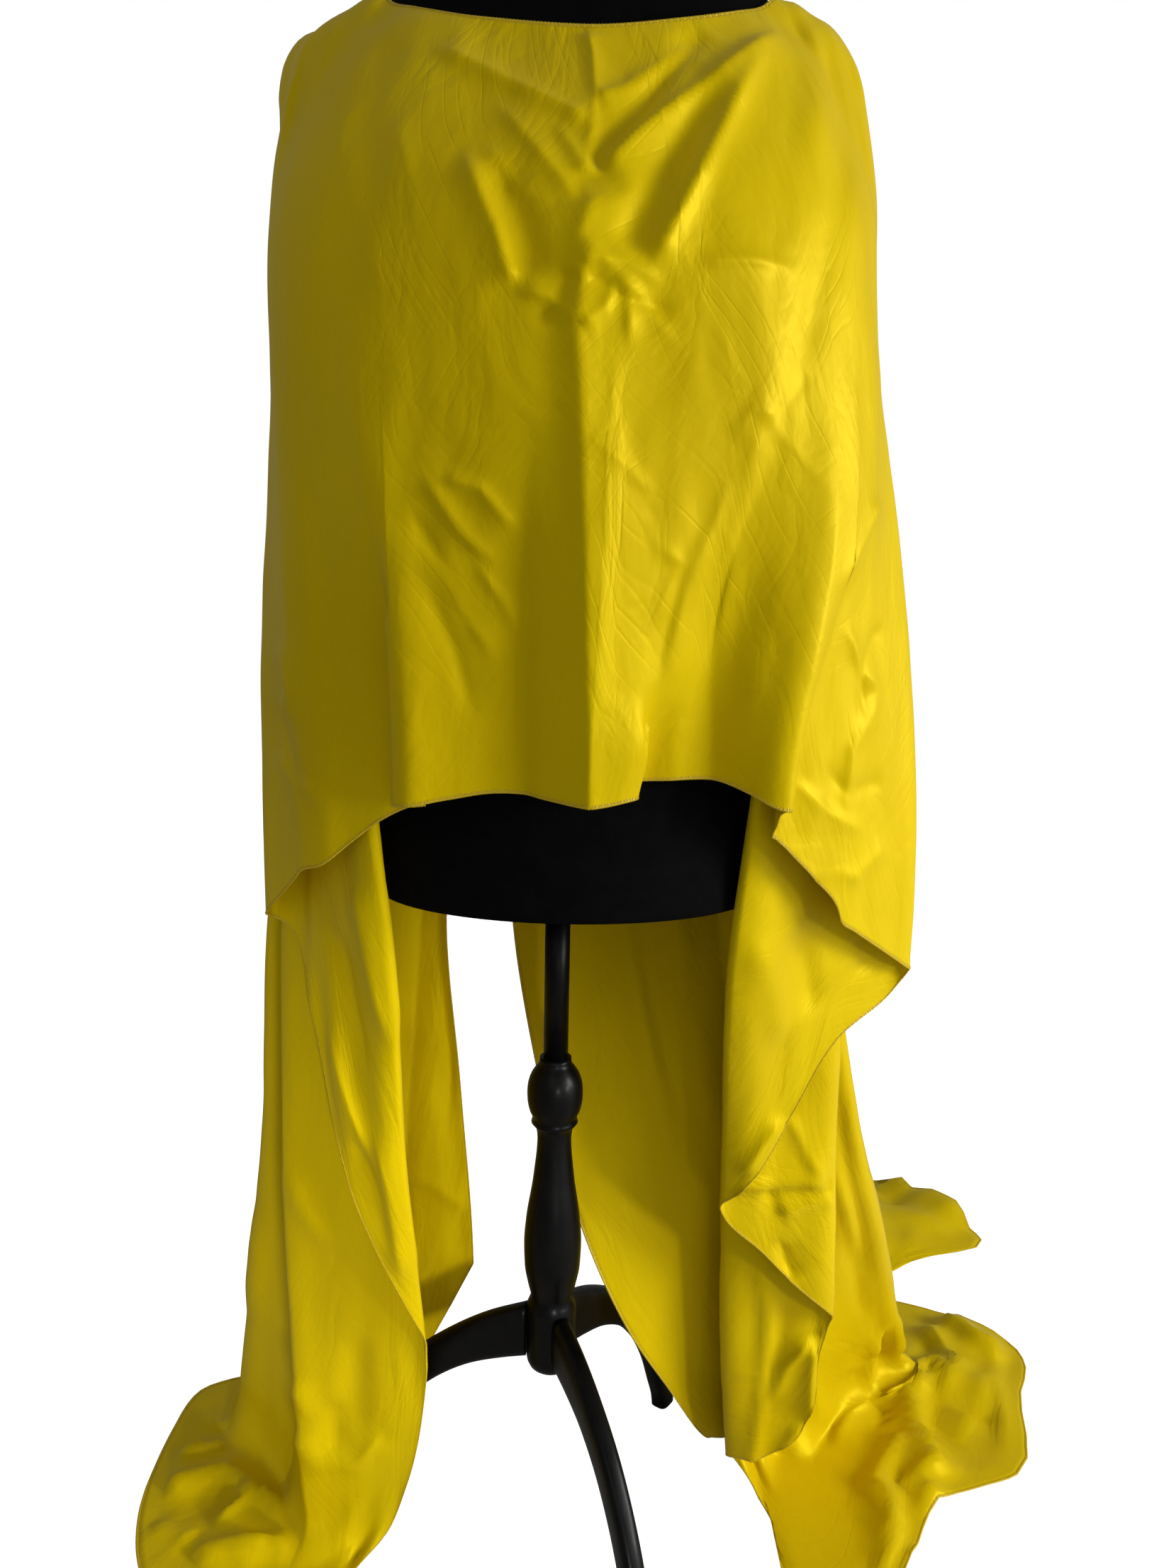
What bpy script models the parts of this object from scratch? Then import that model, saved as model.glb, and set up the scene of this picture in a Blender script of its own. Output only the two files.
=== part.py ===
"""Satin cape on a limbless dress form with a tripod stand.

Metres, +Z up. The wearer faces -Y. Sizes are given about the stand's pole, and the whole part is
moved at the end so that its footprint's centre is the origin.
"""
import math
from collections import namedtuple

import bpy
from mathutils import Vector

MM = 0.001
WALL = 2.0 * MM
SEAM_GAP = 0.3 * MM
REST_GAP = 0.3 * MM
FORM_CLEARANCE = 1.7 * MM

# Heights of the named sections of the cape.
BUST_Z = 1.28
BELT_Z = 1.12
HIP_Z = 0.86
SLIT_Z = 1.12
SLIT_REACH = 0.06
FLOOR_Z = WALL / 2
LEVEL_Z = (0.86, 0.65, 0.45, 0.25, 0.0)

FULLNESS = 2.3
ARC_SPAN = 0.12

Section = namedtuple("Section", "z centre_x half_x front back")
FORM_SECTIONS = (
    Section(0.727, 0.008, 0.183, -0.115, 0.115),
    Section(0.800, 0.006, 0.187, -0.120, 0.122),
    Section(0.860, 0.005, 0.184, -0.118, 0.120),
    Section(0.950, 0.003, 0.164, -0.108, 0.106),
    Section(1.060, 0.002, 0.134, -0.100, 0.088),
    Section(1.160, 0.002, 0.149, -0.118, 0.100),
    Section(1.270, 0.002, 0.170, -0.148, 0.112),
    Section(1.330, 0.002, 0.186, -0.140, 0.112),
    Section(1.380, 0.002, 0.208, -0.118, 0.103),
    Section(1.420, 0.002, 0.236, -0.098, 0.088),
    Section(1.445, 0.001, 0.243, -0.084, 0.076),
    Section(1.457, 0.001, 0.242, -0.076, 0.068),
    Section(1.469, 0.005, 0.234, -0.070, 0.062),
    Section(1.480, 0.009, 0.222, -0.066, 0.058),
    Section(1.489, 0.009, 0.211, -0.063, 0.057),
    Section(1.497, 0.009, 0.199, -0.062, 0.056),
    Section(1.506, 0.009, 0.179, -0.062, 0.058),
    Section(1.515, 0.006, 0.155, -0.062, 0.060),
    Section(1.530, 0.003, 0.119, -0.066, 0.065),
    Section(1.550, 0.000, 0.087, -0.063, 0.062),
    Section(1.575, 0.000, 0.069, -0.058, 0.058),
    Section(1.610, 0.000, 0.063, -0.055, 0.055),
    Section(1.620, 0.000, 0.056, -0.049, 0.049),
)

Drape = namedtuple("Drape", "z left right front back")
CAPE_SECTIONS = (
    Drape(1.280, -0.263, 0.272, -0.160, 0.135),
    Drape(1.185, -0.267, 0.284, -0.160, 0.138),
    Drape(1.030, -0.273, 0.300, -0.160, 0.141),
    Drape(0.900, -0.278, 0.311, -0.160, 0.143),
    Drape(0.790, -0.284, 0.323, -0.160, 0.145),
    Drape(0.651, -0.291, 0.352, -0.160, 0.148),
    Drape(0.000, -0.310, 0.352, -0.160, 0.148),
)

# The top edge by angle from the left seam (0) round the front or the back to the right seam (180).
# fall_y and fall_z point the way the cloth leaves the edge, reach is how far it keeps to that.
Edge = namedtuple("Edge", "angle x y z fall_y fall_z reach")
FRONT_EDGE = (
    Edge(0, -0.248, 0.000, 1.456, 0.00, -1.00, 0.060),
    Edge(6, -0.219, 0.000, 1.4795, -0.75, -0.66, 0.055),
    Edge(11, -0.196, 0.000, 1.4965, -0.85, -0.53, 0.050),
    Edge(15.1, -0.175, 0.000, 1.507, -0.85, -0.53, 0.045),
    Edge(34, -0.135, -0.058, 1.486, -0.55, -0.83, 0.050),
    Edge(58, -0.075, -0.088, 1.467, -0.40, -0.92, 0.055),
    Edge(94, 0.015, -0.100, 1.458, -0.30, -0.95, 0.060),
    Edge(126, 0.097, -0.085, 1.471, -0.40, -0.92, 0.055),
    Edge(148, 0.150, -0.052, 1.491, -0.55, -0.83, 0.050),
    Edge(165.3, 0.184, 0.000, 1.510, -0.85, -0.53, 0.045),
    Edge(169.7, 0.207, 0.000, 1.501, -0.85, -0.53, 0.050),
    Edge(174, 0.230, 0.000, 1.485, -0.75, -0.66, 0.055),
    Edge(180, 0.250, 0.000, 1.457, 0.00, -1.00, 0.060),
)
LEFT_BACK_EDGE = (
    Edge(0, -0.248, 0.000, 1.456, 0.00, -1.00, 0.060),
    Edge(6, -0.219, 0.000, 1.4795, 0.75, -0.66, 0.055),
    Edge(11, -0.196, 0.000, 1.4965, 0.85, -0.53, 0.050),
    Edge(15.2, -0.175, 0.000, 1.507, 0.85, -0.53, 0.045),
    Edge(34, -0.132, 0.056, 1.494, 0.50, -0.87, 0.050),
    Edge(60, -0.070, 0.078, 1.486, 0.35, -0.94, 0.055),
    Edge(90, 0.003, 0.083, 1.484, 0.30, -0.95, 0.060),
)
RIGHT_BACK_EDGE = (
    Edge(0, 0.250, 0.000, 1.457, 0.00, -1.00, 0.060),
    Edge(6, 0.230, 0.000, 1.485, 0.75, -0.66, 0.055),
    Edge(11, 0.207, 0.000, 1.501, 0.85, -0.53, 0.050),
    Edge(16.2, 0.184, 0.000, 1.510, 0.85, -0.53, 0.045),
    Edge(34, 0.140, 0.056, 1.496, 0.50, -0.87, 0.050),
    Edge(60, 0.076, 0.078, 1.486, 0.35, -0.94, 0.055),
    Edge(90, 0.003, 0.083, 1.484, 0.30, -0.95, 0.060),
)

# Folds of the front at its hem. angle is where the fold starts on the bust, start is the height at
# which it begins to leave the smooth form, radius is the cloth's bend at its edge.
FrontFold = namedtuple("FrontFold", "name angle x y z start radius quads spans")
FRONT_FOLDS = (
    FrontFold("left seam", 0, -0.289, 0.000, 0.694, 1.28, 0.010, 2, 5),
    FrontFold("left side", 26, -0.226, -0.080, 0.764, 1.28, 0.045, 1, 3),
    FrontFold("under pleat", 55, -0.119, -0.116, 0.832, 1.14, 0.007, 2, 1),
    FrontFold("left pleat", 60, -0.137, -0.146, 0.837, 1.14, 0.007, 2, 2),
    FrontFold("left middle", 76, -0.048, -0.150, 0.850, 1.28, 0.060, 1, 2),
    FrontFold("centre ridge", 94, 0.028, -0.164, 0.844, 1.28, 0.006, 2, 1),
    FrontFold("small pleat", 105, 0.068, -0.153, 0.849, 1.02, 0.006, 2, 1),
    FrontFold("small valley", 109, 0.061, -0.130, 0.859, 1.02, 0.006, 2, 2),
    FrontFold("right middle", 122, 0.130, -0.126, 0.861, 1.28, 0.060, 1, 2),
    FrontFold("right wave", 138, 0.197, -0.134, 0.838, 1.14, 0.006, 2, 1),
    FrontFold("right hollow", 146, 0.191, -0.110, 0.808, 1.14, 0.006, 2, 2),
    FrontFold("right side", 157, 0.265, -0.066, 0.724, 1.28, 0.045, 1, 5),
    FrontFold("right seam", 180, 0.351, 0.000, 0.651, 1.28, 0.010, 2, 0),
)

# Folds of the back panels, each a plan position at the heights in LEVEL_Z, from the side seam to the
# centre back. spans is how many quads cross the cloth from this fold to the next one.
Fold = namedtuple("Fold", "name angle hip thigh knee shin floor radius quads spans")
LEFT_FOLDS = (
    Fold("seam", 0, (-0.280, 0.000), (-0.291, 0.000), (-0.300, -0.050), (-0.310, -0.065),
         (-0.310, -0.070), 0.010, 2, 3),
    Fold("front flap", 12, (-0.168, -0.094), (-0.152, -0.068), (-0.144, -0.055), (-0.127, -0.045),
         (-0.108, -0.045), 0.008, 3, 5),
    Fold("left ridge", 26, (-0.246, 0.040), (-0.284, 0.032), (-0.281, 0.004), (-0.273, -0.018),
         (-0.257, -0.036), 0.008, 3, 2),
    Fold("inner fold", 38, (-0.206, 0.086), (-0.210, 0.080), (-0.222, 0.068), (-0.262, 0.056),
         (-0.295, 0.042), 0.010, 2, 2),
    Fold("outer fold", 54, (-0.258, 0.118), (-0.320, 0.112), (-0.330, 0.114), (-0.352, 0.130),
         (-0.385, 0.150), 0.011, 3, 7),
    Fold("centre back", 92, (-0.104, 0.141), (-0.128, 0.145), (-0.111, 0.135), (-0.095, 0.122),
         (-0.090, 0.120), 0.0, 0, 0),
)
RIGHT_FOLDS = (
    Fold("seam", 0, (0.315, 0.000), (0.352, 0.000), (0.350, -0.030), (0.350, -0.040),
         (0.350, -0.040), 0.010, 2, 3),
    Fold("front flap", 12, (0.177, -0.092), (0.163, -0.060), (0.171, -0.018), (0.174, -0.010),
         (0.174, -0.010), 0.008, 3, 3),
    Fold("creased flap", 24, (0.262, 0.022), (0.286, 0.022), (0.296, 0.030), (0.306, 0.036),
         (0.310, 0.040), 0.008, 3, 3),
    Fold("inner column", 36, (0.212, 0.070), (0.200, 0.068), (0.182, 0.058), (0.185, 0.050),
         (0.205, 0.062), 0.009, 3, 8),
    Fold("outer fold", 50, (0.280, 0.108), (0.300, 0.100), (0.333, 0.105), (0.387, 0.166),
         (0.452, 0.252), 0.011, 3, 13),
    Fold("centre back", 88, (-0.068, 0.143), (-0.055, 0.150), (-0.014, 0.100), (0.062, 0.047),
         (0.200, 0.106), 0.0, 0, 0),
)

# Where each panel's hem is. u counts folds from the side seam. A hem above the floor has z only.
Hem = namedtuple("Hem", "u z")
LEFT_HEM = (
    Hem(0.00, 0.694), Hem(0.20, 0.655), Hem(0.36, 0.585), Hem(0.50, 0.475), Hem(0.66, 0.410),
    Hem(0.82, 0.330), Hem(0.94, 0.285), Hem(1.00, 0.250), Hem(1.08, 0.170), Hem(1.24, 0.078),
    Hem(1.41, 0.020), Hem(1.58, 0.000), Hem(4.47, 0.000), Hem(4.60, 0.020), Hem(4.73, 0.085),
    Hem(4.86, 0.160), Hem(5.00, 0.236),
)
RIGHT_HEM = (
    Hem(0.00, 0.651), Hem(0.12, 0.604), Hem(0.34, 0.588), Hem(0.62, 0.500), Hem(0.82, 0.452),
    Hem(0.94, 0.408), Hem(1.00, 0.398), Hem(1.06, 0.376), Hem(1.30, 0.342), Hem(1.64, 0.288),
    Hem(2.00, 0.234), Hem(2.14, 0.130), Hem(2.35, 0.070), Hem(2.65, 0.048), Hem(2.94, 0.044),
    Hem(3.06, 0.034), Hem(3.15, 0.000), Hem(5.00, 0.000),
)

# Where the cloth that lies on the floor ends, the point that it bends past, how high it arches, and
# the radius of its bend where it meets the floor.
Train = namedtuple("Train", "u x y via_x via_y arch bend")
LEFT_TRAIN = (
    Train(1.59, -0.205, -0.075, -0.202, -0.055, 0.000, 0.012),
    Train(1.75, -0.240, -0.145, -0.225, -0.090, 0.000, 0.030),
    Train(2.00, -0.300, -0.170, -0.275, -0.105, 0.000, 0.030),
    Train(2.50, -0.360, -0.135, -0.320, -0.060, 0.000, 0.030),
    Train(3.00, -0.425, -0.070, -0.360, -0.010, 0.000, 0.025),
    Train(3.50, -0.452, 0.000, -0.390, 0.050, 0.000, 0.030),
    Train(4.00, -0.460, 0.100, -0.420, 0.125, 0.000, 0.035),
    Train(4.15, -0.455, 0.180, -0.410, 0.170, 0.000, 0.035),
    Train(4.33, -0.385, 0.228, -0.350, 0.190, 0.000, 0.030),
    Train(4.47, -0.262, 0.155, -0.250, 0.142, 0.000, 0.015),
)
RIGHT_TRAIN = (
    Train(3.17, 0.243, 0.028, 0.240, 0.050, 0.000, 0.010),
    Train(3.28, 0.255, -0.075, 0.258, 0.010, 0.000, 0.010),
    Train(3.39, 0.305, -0.135, 0.300, -0.010, 0.000, 0.015),
    Train(3.48, 0.380, -0.052, 0.350, 0.030, 0.000, 0.025),
    Train(3.64, 0.456, 0.050, 0.410, 0.110, 0.000, 0.030),
    Train(3.82, 0.543, 0.080, 0.470, 0.160, 0.000, 0.030),
    Train(3.92, 0.590, 0.200, 0.520, 0.225, 0.000, 0.030),
    Train(4.00, 0.630, 0.292, 0.540, 0.275, 0.000, 0.030),
    Train(4.12, 0.560, 0.375, 0.500, 0.320, 0.000, 0.030),
    Train(4.22, 0.485, 0.412, 0.440, 0.340, 0.000, 0.030),
    Train(4.29, 0.447, 0.430, 0.400, 0.365, 0.000, 0.030),
    Train(4.35, 0.540, 0.510, 0.375, 0.470, 0.006, 0.030),
    Train(4.41, 0.665, 0.560, 0.370, 0.570, 0.020, 0.030),
    Train(4.46, 0.650, 0.612, 0.350, 0.630, 0.045, 0.030),
    Train(4.56, 0.600, 0.672, 0.315, 0.660, 0.060, 0.030),
    Train(4.66, 0.520, 0.750, 0.285, 0.640, 0.050, 0.030),
    Train(4.78, 0.400, 0.690, 0.256, 0.520, 0.010, 0.030),
    Train(4.88, 0.320, 0.560, 0.236, 0.400, 0.000, 0.030),
    Train(5.00, 0.260, 0.420, 0.206, 0.250, 0.000, 0.025),
)

CLEAR_PASSES = 3
TOP_ROWS = 6
TOP_CROWDING = 1.5
FRONT_ROWS = 9
BACK_ROWS = 4
LEG_ROWS = 9
LAST_ROWS = 5
LAST_DROP = 0.12
TIGHTEST = 0.4

# The Bezier curve from the top edge down to the bust.
FALL_LIFT = 0.07
FALL_SPREAD = 0.5

# The stand.
POLE_RADIUS = 12.5 * MM
POLE_FOOT_Z = 0.55
Turning = namedtuple("Turning", "z radius")
COLUMN = (
    Turning(0.198, 0.016), Turning(0.203, 0.023), Turning(0.212, 0.026), Turning(0.272, 0.026),
    Turning(0.282, 0.022), Turning(0.296, 0.025), Turning(0.318, 0.029), Turning(0.345, 0.030),
    Turning(0.372, 0.028), Turning(0.420, 0.021), Turning(0.462, 0.0175), Turning(0.474, 0.019),
    Turning(0.480, 0.024), Turning(0.485, 0.0225), Turning(0.492, 0.0255), Turning(0.503, 0.0280),
    Turning(0.513, 0.0285), Turning(0.523, 0.0275), Turning(0.533, 0.0240), Turning(0.541, 0.0185),
    Turning(0.544, 0.0165), Turning(0.550, 0.0160),
)
HUB_RADIUS = 26 * MM
LEG_WIDTH = 22 * MM
LEG_SIDES = 10
Leg = namedtuple("Leg", "radius z height")
LEG_PROFILE = (
    Leg(HUB_RADIUS + REST_GAP, 0.240, 0.060), Leg(0.060, 0.230, 0.052), Leg(0.100, 0.213, 0.042),
    Leg(0.140, 0.186, 0.036), Leg(0.175, 0.148, 0.032), Leg(0.205, 0.098, 0.029),
    Leg(0.226, 0.045, 0.027), Leg(0.238, 0.012, 0.028), Leg(0.240, 0.000, 0.028),
)
LEG_ANGLES = (("front", -65.0), ("left", 175.0), ("back", 55.0))

BRAID_RADIUS = 2.7 * MM
BRAID_GAP = 1.7 * MM
BRAID_TWIST = 46.0
BRAID_RINGS = 14
BRAID_SIDES = 8
BRAID_LOW_Z = 1.5115
BRAID_HIGH_Z = 1.556
ROUND_SIDES = 18
FORM_SIDES = 32

SATIN = (0.72, 0.52, 0.02, 1.0)
FORM_BLACK = (0.012, 0.012, 0.013, 1.0)
BRAID_BLACK = (0.02, 0.02, 0.02, 1.0)
WOOD_BLACK = (0.02, 0.019, 0.018, 1.0)
STEEL_BLACK = (0.015, 0.015, 0.016, 1.0)


def lerp(a, b, t):
    return a + (b - a) * t


def smoothstep(t):
    t = min(1.0, max(0.0, t))
    return t * t * (3.0 - 2.0 * t)


def along(rows, key, column, value):
    """Smooth value of one column of a table, read at a place on its key column."""
    keys = [getattr(row, key) for row in rows]
    values = [getattr(row, column) for row in rows]
    return spline(keys, values, value)


def spline(keys, values, at):
    """Cubic through a short table; flat past its ends."""
    if keys[0] > keys[-1]:
        keys = keys[::-1]
        values = values[::-1]
    if at <= keys[0]:
        return values[0]
    if at >= keys[-1]:
        return values[-1]
    i = max(k for k in range(len(keys) - 1) if keys[k] <= at)
    step = keys[i + 1] - keys[i]
    rise = (values[i + 1] - values[i]) / step
    slope_a = limited_slope(keys, values, i)
    slope_b = limited_slope(keys, values, i + 1)
    t = (at - keys[i]) / step
    bow = (slope_a - rise) * (1 - t) - (slope_b - rise) * t
    return values[i] + rise * step * t + step * t * (1 - t) * bow


def limited_slope(keys, values, i):
    """Slope at a table row that never lets the curve swing past its rows."""
    if i in (0, len(keys) - 1):
        j = 0 if i == 0 else i - 1
        return (values[j + 1] - values[j]) / (keys[j + 1] - keys[j])
    before = (values[i] - values[i - 1]) / (keys[i] - keys[i - 1])
    after = (values[i + 1] - values[i]) / (keys[i + 1] - keys[i])
    if before * after <= 0:
        return 0.0
    return 2.0 * before * after / (before + after)


def form_ratio(p):
    """Below 1 inside the dress form, 1 on it, above 1 outside."""
    half = along(FORM_SECTIONS, "z", "half_x", p.z)
    centre = along(FORM_SECTIONS, "z", "centre_x", p.z)
    side = "front" if p.y < 0 else "back"
    depth = along(FORM_SECTIONS, "z", side, p.z)
    return math.hypot((p.x - centre) / half, p.y / depth)


def clear_of_form(p, clearance):
    """Move a point of the cloth out until it is clear of the dress form."""
    step = 0.5 * MM
    for _ in range(4):
        ratio = form_ratio(p)
        if ratio > 1.4:
            return p
        slope = Vector((
            form_ratio(p + Vector((step, 0, 0))) - form_ratio(p - Vector((step, 0, 0))),
            form_ratio(p + Vector((0, step, 0))) - form_ratio(p - Vector((0, step, 0))),
            form_ratio(p + Vector((0, 0, step))) - form_ratio(p - Vector((0, 0, step))),
        )) / (2 * step)
        distance = (ratio - 1.0) / slope.length
        if distance >= clearance:
            return p
        p = p + slope.normalized() * (clearance - distance)
    return p


def keep_clear(rows):
    """Move the cloth out where the middle of a quad's side or diagonal is too near the dress form."""
    last = len(rows[0]) - 1

    def on_seam(i):
        return i in (0, last) and abs(rows[0][i].y) < SEAM_GAP

    for _ in range(CLEAR_PASSES):
        for dj, di in ((1, 0), (0, 1), (1, 1), (1, -1)):
            for j in range(len(rows) - dj):
                for i in range(max(0, -di), last + 1 - max(0, di)):
                    held_a, held_b = on_seam(i), on_seam(i + di)
                    middle = (rows[j][i] + rows[j + dj][i + di]) / 2
                    push = clear_of_form(middle, FORM_CLEARANCE) - middle
                    if held_a and held_b:
                        push.y = 0.0
                    elif held_a or held_b:
                        push = push * 2
                    if held_b or not held_a:
                        rows[j][i] = rows[j][i] + push
                    if held_a or not held_b:
                        rows[j + dj][i + di] = rows[j + dj][i + di] + push
    return rows


def smooth_plan(side, angle, z):
    """The cape's plan where it has no folds. side is front, left or right."""
    left = along(CAPE_SECTIONS, "z", "left", z)
    right = along(CAPE_SECTIONS, "z", "right", z)
    centre = (left + right) / 2 if side == "front" else 0.0
    half = {"front": (right - left) / 2, "left": -left, "right": right}[side]
    depth = along(CAPE_SECTIONS, "z", "front" if side == "front" else "back", z)
    turn = math.radians(angle)
    across = math.copysign(abs(math.cos(turn)) ** (2 / FULLNESS), math.cos(turn))
    out = -across if side in ("front", "left") else across
    return Vector((centre + half * out, depth * abs(math.sin(turn)) ** (2 / FULLNESS), 0.0))


def heading(direction):
    return math.atan2(direction.y, direction.x)


def left_of(angle):
    return Vector((-math.sin(angle), math.cos(angle), 0.0))


def turned(start, end, sign):
    """Angle from start to end, kept short, the way that sign turns."""
    delta = (end - start + math.pi) % (2 * math.pi) - math.pi
    if delta * sign < -0.5:
        delta += 2 * math.pi * sign
    return delta


def disc(tips, radii, i, start_way, end_way):
    """Centre and turning sign of the disc that the cloth bends round at one tip."""
    tip = tips[i]
    if i == 0:
        sign = 1 if start_way[0] * start_way[1] < 0 else -1
        return tip + Vector((start_way[0] * radii[i], 0, 0)), sign
    if i == len(tips) - 1:
        sign = 1 if end_way[0] * end_way[1] < 0 else -1
        return tip + Vector((end_way[0] * radii[i], 0, 0)), sign
    before = tip - tips[i - 1]
    after = tips[i + 1] - tip
    sign = 1 if before.x * after.y - before.y * after.x > 0 else -1
    inward = after.normalized() - before.normalized()
    if inward.length < 1e-6:
        inward = left_of(heading(after)) * sign
    return tip + inward.normalized() * radii[i], sign


def belt(tips, folds, start_way, end_way):
    """Plan points of a cloth that runs as a belt round a disc at every fold.

    start_way and end_way are (x towards the disc, y of travel) at a seam. An end of radius 0 is free.
    Returns rows of (u, point).
    """
    last = len(tips) - 1
    radii = []
    for i, fold in enumerate(folds):
        room = min((tips[i] - tips[k]).length for k in (i - 1, i + 1) if 0 <= k <= last)
        radii.append(min(fold.radius, TIGHTEST * room))
    discs = [disc(tips, radii, i, start_way, end_way) for i in range(last + 1)]
    angles = []
    for i in range(last):
        (centre_a, sign_a), (centre_b, sign_b) = discs[i], discs[i + 1]
        gap = centre_b - centre_a
        lean = (sign_b * radii[i + 1] - sign_a * radii[i]) / gap.length
        angles.append(heading(gap) - math.asin(max(-1.0, min(1.0, lean))))
    rows = []
    for i, (centre, sign) in enumerate(discs):
        into = angles[i - 1] if i else math.copysign(math.pi / 2, start_way[1])
        if i < last:
            out = angles[i]
        else:
            out = math.copysign(math.pi / 2, end_way[1]) if radii[i] else into
        turn = turned(into, out, sign)
        quads = folds[i].quads
        low = 0 if i == 0 else i - ARC_SPAN / 2
        high = last if i == last else i + ARC_SPAN / 2
        for k in range(quads + 1):
            t = k / quads if quads else 1.0
            way = into + turn * t
            rows.append((lerp(low, high, t), centre - left_of(way) * sign * radii[i]))
        if i < last:
            first_u, first = rows[-1]
            (centre_b, sign_b) = discs[i + 1]
            next_point = centre_b - left_of(angles[i]) * sign_b * radii[i + 1]
            next_u = i + 1 - (ARC_SPAN / 2 if folds[i + 1].quads else 0)
            for k in range(1, folds[i].spans):
                t = k / folds[i].spans
                rows.append((lerp(first_u, next_u, t), first.lerp(next_point, t)))
    return rows


def front_plan(z):
    """Plan of the front at one height: its folds grow from the smooth bust to the hem."""
    tips = []
    for fold in FRONT_FOLDS:
        grown = smoothstep((fold.start - z) / (fold.start - fold.z))
        plain = smooth_plan("front", fold.angle, z)
        tips.append(plain.lerp(Vector((fold.x, fold.y, 0)), grown))
    return blended("front", FRONT_FOLDS, belt(tips, FRONT_FOLDS, (1, -1), (-1, 1)), z, BELT_Z)


def back_plan(side, folds, z):
    """Plan of a back panel at one height."""
    at = min(z, HIP_Z)
    tips = []
    for fold in folds:
        spots = (fold.hip, fold.thigh, fold.knee, fold.shin, fold.floor)
        x = spline(LEVEL_Z, [spot[0] for spot in spots], at)
        y = spline(LEVEL_Z, [spot[1] for spot in spots], at)
        tips.append(Vector((x, y, 0)))
    tips[0].x = along(CAPE_SECTIONS, "z", side, z)
    way = (1, 1) if side == "left" else (-1, 1)
    return blended(side, folds, belt(tips, folds, way, (0, 1)), z, HIP_Z)


def blended(side, folds, rows, z, full_z):
    """Let the folded plan die out into the smooth one between full_z and the bust."""
    share = smoothstep((BUST_Z - z) / (BUST_Z - full_z))
    angles = [fold.angle for fold in folds]
    result = []
    for u, point in rows:
        plain = smooth_plan(side, spline(list(range(len(folds))), angles, u), z)
        result.append((u, plain.lerp(point, share)))
    return result


def top_points(side, edges, folds, us):
    """Rows from the top edge down to the bust, row by row."""
    columns = []
    for u in us:
        angle = spline(list(range(len(folds))), [fold.angle for fold in folds], u)
        edge = Vector([along(edges, "angle", axis, angle) for axis in ("x", "y", "z")])
        fall = Vector([0.0] + [along(edges, "angle", name, angle) for name in ("fall_y", "fall_z")])
        reach = along(edges, "angle", "reach", angle)
        bust = smooth_plan(side, angle, BUST_Z)
        bust.z = BUST_Z
        out = Vector((edge.x, 0, 0)).normalized() * abs(bust.x - edge.x) * FALL_SPREAD
        near = edge + fall.normalized() * reach + out
        low = bust + Vector((0, 0, FALL_LIFT))
        columns.append((edge, near, low, bust))
    rows = []
    for j in range(TOP_ROWS):
        t = (j / TOP_ROWS) ** TOP_CROWDING
        row = []
        for edge, near, low, bust in columns:
            p = edge * (1 - t) ** 3 + near * 3 * t * (1 - t) ** 2 + low * 3 * t * t * (1 - t)
            row.append(clear_of_form(p + bust * t ** 3, FORM_CLEARANCE))
        rows.append(row)
    return rows


def front_grid():
    """Points of the front, row by row from the neckline to the hem."""
    us = [u for u, _ in front_plan(BUST_Z)]
    hem = [spline(list(range(len(FRONT_FOLDS))), [fold.z for fold in FRONT_FOLDS], u) for u in us]
    rows = top_points("front", FRONT_EDGE, FRONT_FOLDS, us)
    for j in range(FRONT_ROWS + 1):
        row = []
        for i, low in enumerate(hem):
            z = lerp(BUST_Z, low, j / FRONT_ROWS)
            point = front_plan(z)[i][1]
            row.append(clear_of_form(Vector((point.x, point.y, z)), FORM_CLEARANCE))
        rows.append(row)
    return keep_clear(rows)


def read_train(trains, u):
    return Train(u, *(along(trains, "u", name, u) for name in Train._fields[1:]))


def floor_point(contact, train, t):
    """A point on the part of a column that lies on the floor. t runs from its bend to its hem."""
    via = Vector((train.via_x, train.via_y, FLOOR_Z))
    end = Vector((train.x, train.y, FLOOR_Z))
    p = contact.lerp(via, t).lerp(via.lerp(end, t), t)
    p.z += train.arch * math.sin(math.pi * t) ** 2
    return p


def back_column(side, folds, hems, trains, i, u):
    """Points of one column of a back panel from the hip down, over the floor if it gets there."""
    def hung(z):
        point = back_plan(side, folds, z)[i][1]
        return Vector((point.x, point.y, z))

    low = along(hems, "u", "z", u)
    shin = low + LAST_DROP
    points = [hung(lerp(HIP_Z, shin, j / LEG_ROWS)) for j in range(1, LEG_ROWS + 1)]
    if low > 0:
        for j in range(1, LAST_ROWS + 1):
            points.append(hung(max(FLOOR_Z, lerp(shin, low, j / LAST_ROWS))))
        return points
    train = read_train(trains, u)
    contact = hung(0.0)
    contact.z = FLOOR_Z
    spots = [floor_point(contact, train, k / 8) for k in range(9)]
    length = sum((b - a).length for a, b in zip(spots, spots[1:]))
    radius = min(train.bend, length / 2)
    above = hung(max(radius, FLOOR_Z))
    beyond = floor_point(contact, train, radius / length)
    for j in range(1, LAST_ROWS + 1):
        at = (shin + length) * j / LAST_ROWS - (shin - radius)
        if at < 0:
            points.append(hung(radius - at))
        elif at < 2 * radius:
            t = at / (2 * radius)
            points.append(above.lerp(contact, t).lerp(contact.lerp(beyond, t), t))
        else:
            points.append(floor_point(contact, train, (at - radius) / length))
    return points


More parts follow.
